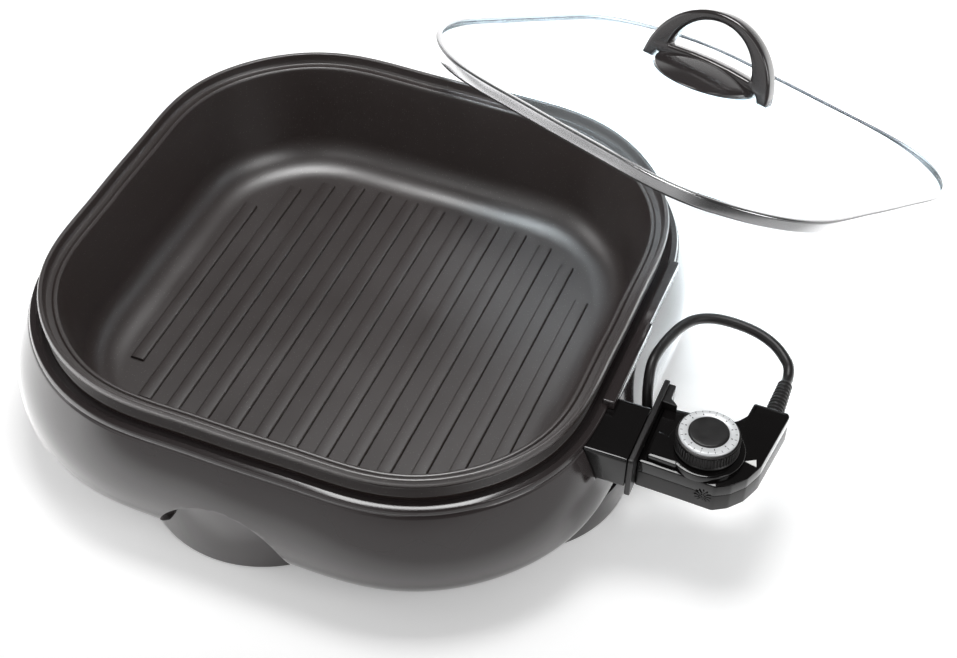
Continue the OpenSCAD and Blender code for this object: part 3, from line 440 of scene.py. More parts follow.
# Tempered soda-lime glass: clear, a trace of blue; shadow rays pass, so the table stays light under it
def temperedGlass():
    s = glassSizes
    material, tree, place = newMaterial("clear tempered glass")
    wave = addNode(tree, "ShaderNodeTexNoise", {"Vector": place, "Scale": 1 / (s["wave"] * mm),
                                                "Detail": 1.0})
    bump = addNode(tree, "ShaderNodeBump", {"Height": wave, "Distance": s["depth"] * mm, "Strength": 0.3})
    haze = addNode(tree, "ShaderNodeMapRange", {"Value": wave, "From Min": 0.3, "From Max": 0.7,
                                                "To Min": 0.0, "To Max": s["haze"]})
    body = addNode(tree, "ShaderNodeBsdfPrincipled", {
        "Base Color": linearColour("#e6f0f5"), "Transmission Weight": 1.0, "IOR": 1.5, "Normal": bump,
        "Roughness": haze})
    ray = addNode(tree, "ShaderNodeLightPath")
    clear = addNode(tree, "ShaderNodeBsdfTransparent", {"Color": linearColour("#eef3f5")})
    both = addNode(tree, "ShaderNodeMixShader", {0: ray.outputs["Is Shadow Ray"], 1: body, 2: clear})
    addNode(tree, "ShaderNodeOutputMaterial", {"Surface": both})
    return material


# Rolled stainless strip: bright, with a fine even grain
def rolledSteel():
    s = bandSizes
    material, tree, place = newMaterial("rolled stainless band")
    finish = grainAndGloss(tree, place, (0.14, 0.22), s["drift"], s["grain"], s["depth"], (2.0, 3.0))[1]
    closeMaterial(tree, {"Base Color": linearColour("#b6b6b7"), **finish, "Metallic": 1.0})
    return material


nonstick = coatedAluminium()
lidGlass = temperedGlass()
steelBand = rolledSteel()
print("materials made")


# Cord: out of the probe, down past the guard, in under the base and out at its back to the coil
cordSizes = {"diameter": 6.2, "coilAt": (45, 214), "coilRadius": 32.5, "coilLow": 4.0, "turns": 2.25,
             "rampStart": 285, "rampEnd": 345, "slack": 0.05}
cordRoute = [
    (249, 20, 64.1), (249, 24.5, 64.1), (247.8, 30, 65.6), (245, 34, 67.4), (237, 41, 69), (226, 46, 70),
    (213, 48.6, 70), (200, 47.6, 70.4), (190, 42.4, 71), (184, 33, 72), (180.4, 21, 73), (178, 7, 74),
    (177.4, -4, 72.6), (179.6, -15, 65.4), (182.4, -21.4, 54), (183, -22.6, 42), (182.4, -20.6, 28),
    (179, -14, 14.6), (173, -3, 6), (167, 9, 3.4), (158, 27, 3.3), (146, 50, 3.3), (133, 76, 3.3),
    (120, 102, 3.3), (107, 128, 3.3), (95, 153, 3.3), (85.6, 177, 3.3), (79.4, 199, 3.7), (77.6, 212, 4.0),
]
tailRoute = [(36, 0.1, 15.6), (28, 0, 13.6), (16, 0, 9.8), (4, 0, 7.3), (-8, 0, 7)]  # y from the coil's end


def coilPoint(degrees):
    s = cordSizes
    level = 0.0
    for lap in (0, 1):
        t = (degrees - 360 * lap - s["rampStart"]) / (s["rampEnd"] - s["rampStart"])
        t = max(0.0, min(1.0, t))
        level += t * t * (3 - 2 * t)
    a = math.radians(degrees)
    return Vector((s["coilAt"][0] + s["coilRadius"] * math.cos(a),
                   s["coilAt"][1] + s["coilRadius"] * math.sin(a),
                   s["coilLow"] + level * (s["diameter"] + s["slack"])))


def makeCord():
    s = cordSizes
    coil = [coilPoint(d) for d in range(8, int(360 * s["turns"]) - 3, 6)]
    end = coilPoint(360 * s["turns"])
    tail = smoothPath([coil[-1]] + [(x, end.y + y, z) for x, y, z in tailRoute], 5)
    path = smoothPath(cordRoute, 6) + coil + tail[1:]
    length = sum((b - a).length for a, b in zip(path, path[1:]))
    return sweepTube("powerCord", path, s["diameter"] / 2), path, length


powerCord, cordPath, cordLength = makeCord()
print("cord length", round(cordLength), "mm")

plugSizes = {"front": -8, "long": 30, "wide": 25, "high": 13, "axis": 7, "neck": 5.4, "shoulder": 17,
             "edge": 2.6}


def makePlug():
    s = plugSizes
    y = cordSizes["coilAt"][1] + cordSizes["coilRadius"]
    half, back = s["wide"] / 2, s["front"] - s["long"]
    shoulder = back + s["shoulder"]
    body = roundCorners([(back, y - half, 2), (shoulder, y - half, 9), (s["front"], y - s["neck"], 2),
                         (s["front"], y + s["neck"], 2), (shoulder, y + half, 9), (back, y + half, 2)], 6)
    low, high = s["axis"] - s["high"] / 2, s["axis"] + s["high"] / 2
    return stack("plugBody", [body], slabProfile(low, high, s["edge"], steps=5))


plugBody = put(makePlug(), "probe", "cord_jacket", pvcJacket, "plug_body")
put(powerCord, "probe", "cord_jacket", pvcJacket, "cord_lead", "cord_coil", "cord_tail")
print("cord and plug made")


# The plan curve that base, pan and lid share
planSizes = {"half": 150, "bulge": 0.0762, "flat": 0.0035, "steps": 320}


def planPoint(angle, out):
    s = planSizes
    size = s["half"] / (1 - s["bulge"] + s["flat"])
    r = size * (1 - s["bulge"] * math.cos(4 * angle) + s["flat"] * math.cos(12 * angle))
    slope = size * (4 * s["bulge"] * math.sin(4 * angle) - 12 * s["flat"] * math.sin(12 * angle))
    way = Vector((slope * math.cos(angle) - r * math.sin(angle),
                  slope * math.sin(angle) + r * math.cos(angle)))
    way.normalize()
    return (r * math.cos(angle) + out * way.y, r * math.sin(angle) - out * way.x)


def sweepPlan(name, section, closed=True, shares=None, matrix=None, sharp=38):
    # section of (out, height); shares shrink a ring towards the middle
    steps = planSizes["steps"]
    points, faces = [], []
    for row, (out, height) in enumerate(section):
        share = shares[row] if shares else 1
        for i in range(steps):
            x, y = planPoint(tau * i / steps, out)
            points.append((x * share, y * share, height))
    rows = len(section)
    for j in range(rows if closed else rows - 1):
        a, b = j * steps, (j + 1) % rows * steps
        for i in range(steps):
            k = (i + 1) % steps
            faces.append((a + i, a + k, b + k, b + i))
    if not closed:
        faces.append(tuple(range(steps)))
        faces.append(tuple((rows - 1) * steps + i for i in reversed(range(steps))))
    return makeMesh(name, points, faces, matrix, sharp)


# a plate's own x and y become the world's Y and Z, and its height becomes X
upAlongX = Matrix(((0, 0, 1, 0), (1, 0, 0, 0), (0, 1, 0, 0), (0, 0, 0, 1)))

# Base housing, with its feet, arched recesses and side pad
baseSizes = {"low": 11, "belly": 40, "bellyOut": 28.5, "shoulder": 79.8, "top": 81.8, "rimOut": 17,
             "bottomOut": 11.5, "wall": 2.8, "curve": 2.4, "ledge": 80.2, "beadDrop": 2.0, "groove": 0.45,
             "flange": 2.4, "insideHigh": 62.8}
footSizes = {"radius": 68, "reach": 172, "shift": -12, "sideReach": 179, "sideShift": -40, "low": 1.5,
             "high": 24, "inner": 153.2, "tall": 53.5}
archSizes = {"half": 39.5, "top": 51.4, "middle": 18, "shift": -3, "wall": 2.6, "cut": (148, 185),
             "inner": 154, "recess": 1.2, "lap": 0.02, "start": -10, "span": 200, "edge": 0.7}
sidePadSizes = {"inner": 163.2, "outer": 170.3, "low": 76, "high": 84.2, "from": -50, "to": 70,
                "stepAt": 16, "step": 1.3}
guardCut = {"x": (163, 201.5), "y": (-82.3, -39.7), "z": (57.7, 79.3)}


def wallOut(z):
    s = baseSizes
    if z > s["belly"]:
        return s["rimOut"] + (s["bellyOut"] - s["rimOut"]) * math.sin(
            math.pi / 2 * (s["shoulder"] - z) / (s["shoulder"] - s["belly"]))
    return s["bottomOut"] + (s["bellyOut"] - s["bottomOut"]) * (
        1 - ((s["belly"] - z) / (s["belly"] - s["low"])) ** s["curve"])


def housingSection():
    s = baseSizes
    groove = s["shoulder"] - s["beadDrop"]
    floor = s["low"] + s["flange"]
    heights = [s["low"] + (groove - s["low"]) * k / 40 for k in range(41)]
    outer = [(wallOut(z), z, 0) for z in heights]
    outer[0] = (outer[0][0], outer[0][1], 1.0)
    deep = wallOut(groove) - s["groove"]
    bead = [(deep, groove + 0.3, 0.2), (deep, groove + 0.8, 0.2),
            (wallOut(groove + 1.2) + 0.05, groove + 1.2, 0.3), (s["rimOut"] + 0.1, s["shoulder"] + 0.2, 0.7),
            (s["rimOut"] - 0.4, s["top"] - 0.7, 0.9), (s["rimOut"] - 3.3, s["top"], 0.7),
            (9.6, s["ledge"], 0.8)]
    inner = [(6.5, s["ledge"], 0.6), (6.5, 74.2, 0.4), (9, 74.2, 0.4), (9, 78.2, 0.5)]
    inside = [(wallOut(z) - s["wall"], z, 0)
              for z in reversed([floor + s["insideHigh"] * k / 14 for k in range(15)])]
    flange = [(-6, floor, 0.5), (-6, s["low"], 0.5)]
    return roundCorners(outer + bead + inner + inside + flange, 4)


def footPiece(turn, shift, reach, high):
    s = footSizes
    centre = reach - s["radius"]
    arc = math.acos((s["inner"] - centre) / s["radius"])
    loop = arcPoints(s["radius"], -arc, arc, 48, (centre, shift))
    return stack("foot", [loop], slabProfile(s["low"], high, 0.3, 0.9), turnedBy(turn, "Z"), 50)


def archPoint(a, grow=0):
    s = archSizes
    return (s["shift"] + (s["half"] + grow) * math.cos(a),
            s["middle"] + (s["top"] - s["middle"] + grow) * math.sin(a))


def sideReach(y, z):
    # how far out the wall lies on the +X side, at a place along it
    low, high = -0.7, 0.7
    for _ in range(40):
        middle = (low + high) / 2
        if planPoint(middle, wallOut(z))[1] < y:
            low = middle
        else:
            high = middle
    return planPoint(low, wallOut(z))[0]


# The front and back feet stand in arched recesses, each lined by a wall that reaches in from the shell
def cutArch(shell, turn):
    loop = [archPoint(tau * k / 96) for k in range(96)]
    cutWith(shell, stack("archCutter", [loop], [(0, x) for x in archSizes["cut"]],
                         turnedBy(turn, "Z") @ upAlongX))
    softenEdges(shell, archSizes["edge"], 2, 60)


def archLining(turn):
    s = archSizes
    steps = 72
    points, faces = [], []
    for k in range(steps + 1):
        a = math.radians(s["start"] + s["span"] * k / steps)
        for grow in (s["lap"], s["wall"]):
            y, z = archPoint(a, grow)
            reach = sideReach(y, max(z, baseSizes["low"] + 0.5)) - s["recess"]
            points += [(s["inner"], y, z), (reach, y, z)]
    for k in range(steps):
        i, j = 4 * k, 4 * k + 4
        faces += [(i, i + 1, j + 1, j), (i + 2, j + 2, j + 3, i + 3), (i + 1, i + 3, j + 3, j + 1),
                  (i, j, j + 2, i + 2)]
    faces += [(0, 2, 3, 1), (4 * steps, 4 * steps + 1, 4 * steps + 3, 4 * steps + 2)]
    return makeMesh("archLining", points, faces, turnedBy(turn, "Z"), 40)


def sidePad():
    s = sidePadSizes
    mid = s["outer"] - s["step"]
    loop = roundCorners([(s["inner"], s["from"], 1.2), (s["outer"], s["from"], 1.2),
                         (s["outer"], s["stepAt"], 0.4), (mid, s["stepAt"], 0.3), (mid, s["to"], 1.2),
                         (s["inner"], s["to"], 1.2)], 4)
    return stack("sidePad", [loop], slabProfile(s["low"], s["high"], 0.9, 0.2), sharp=50)


def makeFeet():
    s = footSizes
    feet = [footPiece(turn, s["sideShift"], s["sideReach"], s["high"]) for turn in (0, 180)]
    for turn in (-90, 90):
        feet += [footPiece(turn, s["shift"], s["reach"], s["tall"]), archLining(turn)]
    return feet


shell = sweepPlan("shell", housingSection())
cutBox(shell, guardCut)
for turn in (-90, 90):
    cutArch(shell, turn)
rightPad = cutBox(sidePad(), guardCut)
put(joinPieces("baseHousing", [shell, rightPad] + makeFeet()), "base", "housing_plastic", phenolic,
    "base_housing")
print("base housing made")


# Cast pan, and the grill ribs on its floor
panSizes = {"rim": 90, "floor": 25, "wall": 4, "lean": 8, "corner": 22, "seat": 80.5}
ribSizes = {"side": 6, "pitch": 18.6, "width": 8.5, "height": 1.8, "reach": 117, "corner": 70}


def panSection():
    s = panSizes
    centre = (-s["lean"] - s["corner"], s["floor"] + s["corner"])
    under = arcPoints(s["corner"] + s["wall"], -math.pi / 2, 0, 18, centre)
    inside = arcPoints(s["corner"], 0, -math.pi / 2, 18, centre)
    rim = s["rim"]
    lip = [(4.3, s["seat"], 0.4), (9, s["seat"], 0.4), (9, s["seat"] + 2.5, 0.4), (5.2, rim - 5, 0.5),
           (5.2, rim, 1.0), (10.4, rim + 2.2, 0.8), (10.8, rim + 5, 1.2), (10, rim + 6.9, 1.2),
           (9, rim + 7.05, 0.9), (7.9, rim + 6.8, 0.9), (7.2, rim + 2.2, 0.9), (6.4, rim + 0.6, 0.8),
           (3.2, rim + 0.6, 0.8), (2.4, rim + 1.5, 0.6), (1.4, rim + 1.65, 0.8), (0.3, rim + 0.9, 0.8),
           (-0.1, rim - 0.6, 1.0)]
    plain = [[(x, z, 0) for x, z in arc] for arc in (under, inside)]
    return roundCorners(plain[0] + lip + plain[1], 4, closed=False)


# Grill ribs: one line across the floor, a curve on each point, its ends drawn in to round tips
def ribTree():
    tree, given = newTree("grill ribs", {
        "Count": int, "Pitch": float, "Width": float, "Height": float, "Flat": float, "Corner": float,
        "Start": "vector", "Material": "material"})
    offset = addNode(tree, "ShaderNodeCombineXYZ", {"X": given["Pitch"]})
    row = addNode(tree, "GeometryNodeMeshLine", {"Count": given["Count"], "Start Location": given["Start"],
                                                 "Offset": offset})
    line = addNode(tree, "GeometryNodeCurvePrimitiveLine", {"Start": (0, -1, 0), "End": (0, 1, 0)})
    fine = addNode(tree, "GeometryNodeResampleCurve", {"Curve": line, "Count": 72})
    placed = addNode(tree, "GeometryNodeInstanceOnPoints", {"Points": row, "Instance": fine})
    real = addNode(tree, "GeometryNodeRealizeInstances", {"Geometry": placed})
    place = addNode(tree, "ShaderNodeSeparateXYZ", {"Vector": addNode(tree, "GeometryNodeInputPosition")})
    known = {"x": place.outputs[0], "y": place.outputs[1], "flat": given["Flat"],
             "corner": given["Corner"], "width": given["Width"], "height": given["Height"]}
    for name, operation, *terms in (
            # half a rib's length at its own x, inside the floor's rounded corners
            ("side", "ABSOLUTE", "x"), ("past", "SUBTRACT", "side", "flat"), ("over", "MAXIMUM", "past", 0.0),
            ("overSquare", "POWER", "over", 2.0), ("cornerSquare", "POWER", "corner", 2.0),
            ("spanSquare", "SUBTRACT", "cornerSquare", "overSquare"), ("span", "SQRT", "spanSquare"),
            ("half", "ADD", "flat", "span"),
            # points crowd towards both ends
            ("phase", "MULTIPLY", "y", math.pi / 2), ("wave", "SINE", "phase"),
            ("eased", "MULTIPLY", "wave", "half"),
            # the section shrinks along a quarter circle at the tip
            ("along", "ABSOLUTE", "y"), ("left", "SUBTRACT", "half", "along"),
            ("tip", "DIVIDE", "width", 2.0), ("short", "SUBTRACT", "tip", "left"),
            ("part", "DIVIDE", "short", "tip"), ("inTip", "MAXIMUM", "part", 0.0),
            ("near", "MINIMUM", "inTip", 0.995), ("nearSquare", "POWER", "near", 2.0),
            ("taperSquare", "SUBTRACT", 1.0, "nearSquare"), ("taper", "SQRT", "taperSquare"),
            # the rib's outline, half of it sunk in the floor
            ("deep", "MULTIPLY", "height", 2.0), ("edge", "MULTIPLY", "height", 0.6)):
        terms = {i: known.get(term, term) for i, term in enumerate(terms)}
        known[name] = addNode(tree, "ShaderNodeMath", terms, operation=operation)
    spot = addNode(tree, "ShaderNodeCombineXYZ", {"X": place.outputs[0], "Y": known["eased"],
                                                  "Z": place.outputs[2]})
    drawn = addNode(tree, "GeometryNodeSetPosition", {"Geometry": real, "Position": spot})
    sized = addNode(tree, "GeometryNodeSetCurveRadius", {"Curve": drawn, "Radius": known["taper"]})
    outline = addNode(tree, "GeometryNodeCurvePrimitiveQuadrilateral",
                      {"Width": given["Width"], "Height": known["deep"]})
    soft = addNode(tree, "GeometryNodeFilletCurve", {"Curve": outline, "Count": 4, "Radius": known["edge"]},
                   mode="POLY")
    solid = addNode(tree, "GeometryNodeCurveToMesh", {"Curve": sized, "Profile Curve": soft,
                                                      "Fill Caps": True})
    return closeTree(tree, given, solid)


def makeRibs():
    s = ribSizes
    start = (-s["side"] * s["pitch"] * mm, 0, panSizes["floor"] * mm)
    return growTree("grillRibs", ribTree(), {
        "Count": 2 * s["side"] + 1, "Pitch": s["pitch"] * mm, "Width": s["width"] * mm,
        "Height": s["height"] * mm, "Flat": (s["reach"] - s["corner"]) * mm, "Corner": s["corner"] * mm,
        "Start": start, "Material": nonstick})


panBody = sweepPlan("castPan", panSection(), closed=False)
put(panBody, "base", "pan_coating", nonstick, "pan")
put(makeRibs(), "base", "pan_coating", nonstick)
print("pan and ribs made")


# Lid: domed glass in a steel rim, placed and turned as a whole
lidSizes = {"half": 150.5, "rimHigh": 8, "rimThick": 0.8, "grip": 3.5, "glass": 4, "rise": 23, "edge": -3,
            "edgeGap": 0.4, "flat": 0.12, "place": (131.5, 225.3, 68.9), "turns": (-23.8, 7, -20.7)}
lidFrame = movedTo(lidSizes["place"])
for degrees, axis in zip(lidSizes["turns"], "XYZ"):
    lidFrame = lidFrame @ turnedBy(degrees, axis)
crown = lidSizes["edge"] + lidSizes["glass"] + lidSizes["rise"]
lidOut = lidSizes["half"] - planSizes["half"]


def domeHeight(share):
    flat = lidSizes["flat"]
    return lidSizes["rise"] * (1 - max(share, flat) ** 2) / (1 - flat ** 2)


def makeGlass():
    s = lidSizes
    out = lidOut - s["rimThick"] - s["edgeGap"]
    shares = [0.02, 0.06, 0.12, 0.16] + [0.2 + 0.8 * k / 30 for k in range(31)]
    under = [(out, s["edge"] + domeHeight(share)) for share in shares]
    over = [(out, s["edge"] + s["glass"] + domeHeight(share)) for share in reversed(shares)]
    return sweepPlan("domeGlass", under + over, closed=False, shares=shares + shares[::-1],
                     matrix=lidFrame, sharp=50)


def makeRim():
    s = lidSizes
    half, thick = s["rimHigh"] / 2, s["rimThick"]
    lip = lidOut - thick - s["grip"]
    section = [(lidOut, -half, 1.6), (lidOut, half, 1.6), (lip, half, 0.3), (lip, half - thick, 0.3),
               (lidOut - thick, half - thick, 0.9), (lidOut - thick, thick - half, 0.9),
               (lip, thick - half, 0.3), (lip, -half, 0.3)]
    return sweepPlan("steelRim", roundCorners(section, 5), matrix=lidFrame)


put(makeGlass(), "lid", "lid_glass", lidGlass, "lid_glass")
put(makeRim(), "lid", "rim_steel", steelBand, "lid_rim")
print("lid glass and rim made")


# Lid handle: an upright loop on a low dome
handleSizes = {"turn": 8.9, "radius": 46, "thick": 12, "gripRadius": 30, "bevel": 2.4,
               "plinthHalf": (34.5, 41), "dome": 90, "slot": 3.3, "notch": 38.5, "plinthEdge": 1.1}
handleFrame = lidFrame @ turnedBy(handleSizes["turn"], "Z")


def gripOutlines():
    s = handleSizes
    centre, low, bar = crown - 3, crown - 1, crown + s["slot"]
    side = math.asin((low - centre) / s["radius"])
    outer = arcPoints(s["radius"], side, math.pi - side, 72, (0, centre))
    notch = s["notch"]
    foot = [(-notch, low), (2 - notch, bar), (notch - 2, bar), (notch, low)]
    outline = roundCorners(arcCorners(outer, 1.2) + [(x, y, 1.0) for x, y in foot], 4)
    grip, floor = crown + 7, crown + 11
    wide = math.asin((floor - grip) / s["gripRadius"])
    hole = arcPoints(s["gripRadius"], wide, math.pi - wide, 60, (0, grip))
    bow = [(-14, floor + 1.4), (0, floor + 1.8), (14, floor + 1.4)]
    opening = roundCorners(arcCorners(hole, 5.0) + [(x, y, 8.0) for x, y in bow], 6)
    return outline, list(reversed(opening))


def makeHandle():
    s = handleSizes
    half = s["thick"] / 2
    return stack("gripLoop", gripOutlines(), slabProfile(-half, half, s["bevel"], steps=6),
                 handleFrame @ turnedBy(90, "X"), 60)


def makePlinth():
    s = handleSizes
    long, wide = s["plinthHalf"]
    low, top = crown + 0.1, crown + 11
    points, faces = [], []
    count, rows = 96, 26
    for j in range(rows + 1):
        share = 1 - 0.98 * j / rows
        for i in range(count):
            x, y = long * share * math.cos(tau * i / count), wide * share * math.sin(tau * i / count)
            points.append((x, y, top - s["dome"] + math.sqrt(s["dome"] ** 2 - x * x - y * y)))
    base = len(points)
    points += [(x, y, low) for x, y, _ in points[:count]]
    for j in range(rows):
        for i in range(count):
            k = (i + 1) % count
            faces.append((j * count + i, j * count + k, (j + 1) * count + k, (j + 1) * count + i))
    for i in range(count):
        k = (i + 1) % count
        faces.append((base + i, base + k, k, i))
    faces.append(tuple(base + i for i in range(count)))
    faces.append(tuple(rows * count + i for i in range(count)))
    return softenEdges(makeMesh("handlePlinth", points, faces, handleFrame, 30), s["plinthEdge"], 3, 50)


put(makeHandle(), "lid", "handle_plastic", handlePhenolic, "lid_handle")
put(makePlinth(), "lid", "handle_plastic", handlePhenolic, "lid_handle_plinth")
print("handle made")


# Terminal guard: an open sleeve with a tab below
guardSizes = {"x": (163, 188.5), "y": (-82, -40), "z": (58, 79), "wall": 2.5, "tab": 10, "tabIn": 2}


def makeGuard():
    s = guardSizes
    wall = s["wall"]
    back, front = s["x"]
    profile = slabProfile(back, front, 0.6) + [(wall, front - 0.1), (wall, back + wall)]
    tube = stack("guardTube", [roundedBox(s["y"], s["z"], 2.0)], profile, upAlongX)
    low = s["z"][0]
    tabLoop = roundedBox((s["y"][0] + s["tabIn"], s["y"][1] - s["tabIn"]), (low - s["tab"], low + 1), 1.0)
    tab = stack("guardTab", [tabLoop], slabProfile(back, back + wall, 0.4), upAlongX)
    return joinPieces("terminalGuard", [tube, tab])


put(makeGuard(), "base", "guard_plastic", glossAbs, "terminal_guard")
print("guard made")


# Control probe: two halves, a raised deck for the dial, a flange and a nose
probeAt = (192, -61, 68.5)
probeFrame = movedTo(probeAt)
probePlan = [(0, 31, 1.5), (0, -12, 1.5), (24, -12.6, 8), (43.5, -13.3, 5), (51, -8.6, 5), (57.6, -0.6, 6),
             (61, 8, 5), (62, 11, 4), (66.5, 51, 3), (65, 53, 1.5), (46, 53, 1.5), (45, 42.6, 4), (40, 35, 8)]
probeSizes = {"low": -16.5, "part": -4.5, "gap": 0.2, "deck": 3.5, "deckHigh": 7.5, "wall": 2.2,
              "dial": (31.7, 7.9), "deckRadius": 21, "slope": 0.42, "topIn": 2.2, "deckIn": 2.0}
flangeSizes = {"x": (-3, 0), "y": (-21, 44), "z": (-16.5, 11), "noseX": -13.5, "noseHalf": (18, 7.5),
               "gussetZ": (-10, 8)}
bossSizes = {"place": (229.6, -74.0, 61.5), "turn": 91.5}


def deckLoop():
    s = probeSizes
    ring = arcPoints(s["deckRadius"], math.radians(-122), math.radians(180), 70, s["dial"])
    return roundCorners([(x, y, 0) for x, y in ring] + [(4, 10, 2), (4, -9.5, 1.5), (20, -10.2, 3)], 4)


def makeProbe():
    s = probeSizes
    loop = roundCorners(probePlan, 5)
    wall, part = s["wall"], s["part"]
    lower = slabProfile(s["low"], part, 0.25, 1.2)[:-1] + [(wall, part), (wall, s["low"] + wall)]
    put(stack("probeBottom", [loop], lower, probeFrame), "probe", "probe_plastic", blackNylon,
        "probe_lower_housing")
    upper = ([(wall, s["deck"] - wall), (wall, part + s["gap"])]
             + slabProfile(part + s["gap"], s["deck"] - s["slope"], 0.7, 0.25)[1:]
             + [(s["topIn"], s["deck"])])
    raised = (slabProfile(s["deck"] - 0.8, s["deckHigh"] - s["slope"], 0.6, 0.1)
              + [(s["deckIn"], s["deckHigh"])])
    top = stack("probeTop", [loop], upper, probeFrame)
    deck = stack("probeDeck", [deckLoop()], raised, probeFrame)
    put(joinPieces("probeCover", [top, deck]), "probe", "probe_gloss", glossAbs, "probe_upper_housing")


def makeFlange():
    s = flangeSizes
    back, front = s["x"]
    plate = stack("plate", [roundedBox(s["y"], s["z"], 1.6)], slabProfile(back, front, 0.5),
                  probeFrame @ upAlongX)
    gusset = roundCorners([(-1, 30, 0.5), (10, 29, 1), (4, 34, 1.5), (3.7, 44, 1), (-1, 44, 0.5)], 3)
    web = stack("web", [gusset], slabProfile(s["gussetZ"][0], s["gussetZ"][1], 0.5), probeFrame)
    put(joinPieces("probeFlange", [plate, web]), "probe", "probe_plastic", blackNylon, "probe_flange")
    y, z = s["noseHalf"]
    nose = stack("probeNose", [roundedBox((-y, y), (-z, z), 2.0)],
                 slabProfile(s["noseX"], back + 0.2, 0.1, 0.8), probeFrame @ upAlongX)
    put(nose, "probe", "probe_plastic", blackNylon, "probe_nose")


# Bars stood round a circle: dial flutes, scale strokes and the petals of the side boss
def barRingTree():
    tree, given = newTree("ring of bars", {"Count": int, "Radius": float, "Bar": "vector",
                                           "Material": "material"})
    ring = addNode(tree, "GeometryNodeMeshCircle", {"Vertices": given["Count"], "Radius": given["Radius"]})
    step = addNode(tree, "ShaderNodeMath", {0: tau, 1: given["Count"]}, operation="DIVIDE")
    angle = addNode(tree, "ShaderNodeMath", {0: addNode(tree, "GeometryNodeInputIndex"), 1: step},
                    operation="MULTIPLY")
    turn = addNode(tree, "ShaderNodeCombineXYZ", {"Z": angle})
    bar = addNode(tree, "GeometryNodeMeshCylinder", {"Vertices": 12, "Radius": 0.5, "Depth": 1.0})
    placed = addNode(tree, "GeometryNodeInstanceOnPoints", {"Points": ring, "Instance": bar,
                                                            "Rotation": turn, "Scale": given["Bar"]})
    return closeTree(tree, given, placed)


# Rounded rings along a line, each a little smaller than the last
def ribLineTree():
    tree, given = newTree("ribs along a line", {"Count": int, "Step": float, "First": float, "Last": float,
                                                "Width": float, "Material": "material"})
    offset = addNode(tree, "ShaderNodeCombineXYZ", {"Z": given["Step"]})
    row = addNode(tree, "GeometryNodeMeshLine", {"Count": given["Count"], "Start Location": (0, 0, 0),
                                                 "Offset": offset})
    half = addNode(tree, "ShaderNodeMath", {0: given["Width"], 1: 2.0}, operation="DIVIDE")
    circle = addNode(tree, "GeometryNodeCurvePrimitiveCircle", {"Resolution": 40, "Radius": 1.0})
    last = addNode(tree, "ShaderNodeMath", {0: given["Count"], 1: 1.0}, operation="SUBTRACT")
    share = addNode(tree, "ShaderNodeMath", {0: addNode(tree, "GeometryNodeInputIndex"), 1: last},
                    operation="DIVIDE")
    size = addNode(tree, "ShaderNodeMix", {"Factor": share, "A": given["First"], "B": given["Last"]})
    inner = addNode(tree, "ShaderNodeMath", {0: size, 1: half}, operation="SUBTRACT")
    scale = addNode(tree, "ShaderNodeCombineXYZ", {"X": inner, "Y": inner, "Z": 1.0})
    placed = addNode(tree, "GeometryNodeInstanceOnPoints", {"Points": row, "Instance": circle,
                                                            "Scale": scale})
    real = addNode(tree, "GeometryNodeRealizeInstances", {"Geometry": placed})
    bead = addNode(tree, "GeometryNodeCurvePrimitiveCircle", {"Resolution": 12, "Radius": half})
    solid = addNode(tree, "GeometryNodeCurveToMesh", {"Curve": real, "Profile Curve": bead})
    return closeTree(tree, given, solid)


barRing = barRingTree()
ribLine = ribLineTree()


def growBars(name, count, radius, bar, matrix):
    # bar is its size outwards, sideways and along the ring's axis
    return growTree(name, barRing, {"Count": count, "Radius": radius * mm,
                                    "Bar": tuple(size * mm for size in bar), "Material": blackNylon}, matrix)


def makeSideBoss():
    face = movedTo(bossSizes["place"]) @ turnedBy(bossSizes["turn"], "X")
    return joinPieces("sideBoss", [growBars("bossPetals", 12, 3.4, (3.0, 0.9, 1.2), face),
                                   growBars("bossCore", 6, 1.2, (1.0, 0.8, 1.3), face)])


makeProbe()
makeFlange()
put(makeSideBoss(), "probe", "probe_plastic", blackNylon)
print("probe made")


# Dial: a fluted knob that carries the scale ring and a cap
dialSizes = {"low": 8.1, "high": 18, "radius": 18, "flutes": 60, "ringRadius": 16, "ringBore": 11,
             "top": 19.5, "cap": 10.9, "capTop": 20, "strokes": 24, "dots": 12}
dialAt = (probeAt[0] + probeSizes["dial"][0], probeAt[1] + probeSizes["dial"][1], probeAt[2])
dialFrame = movedTo(dialAt)


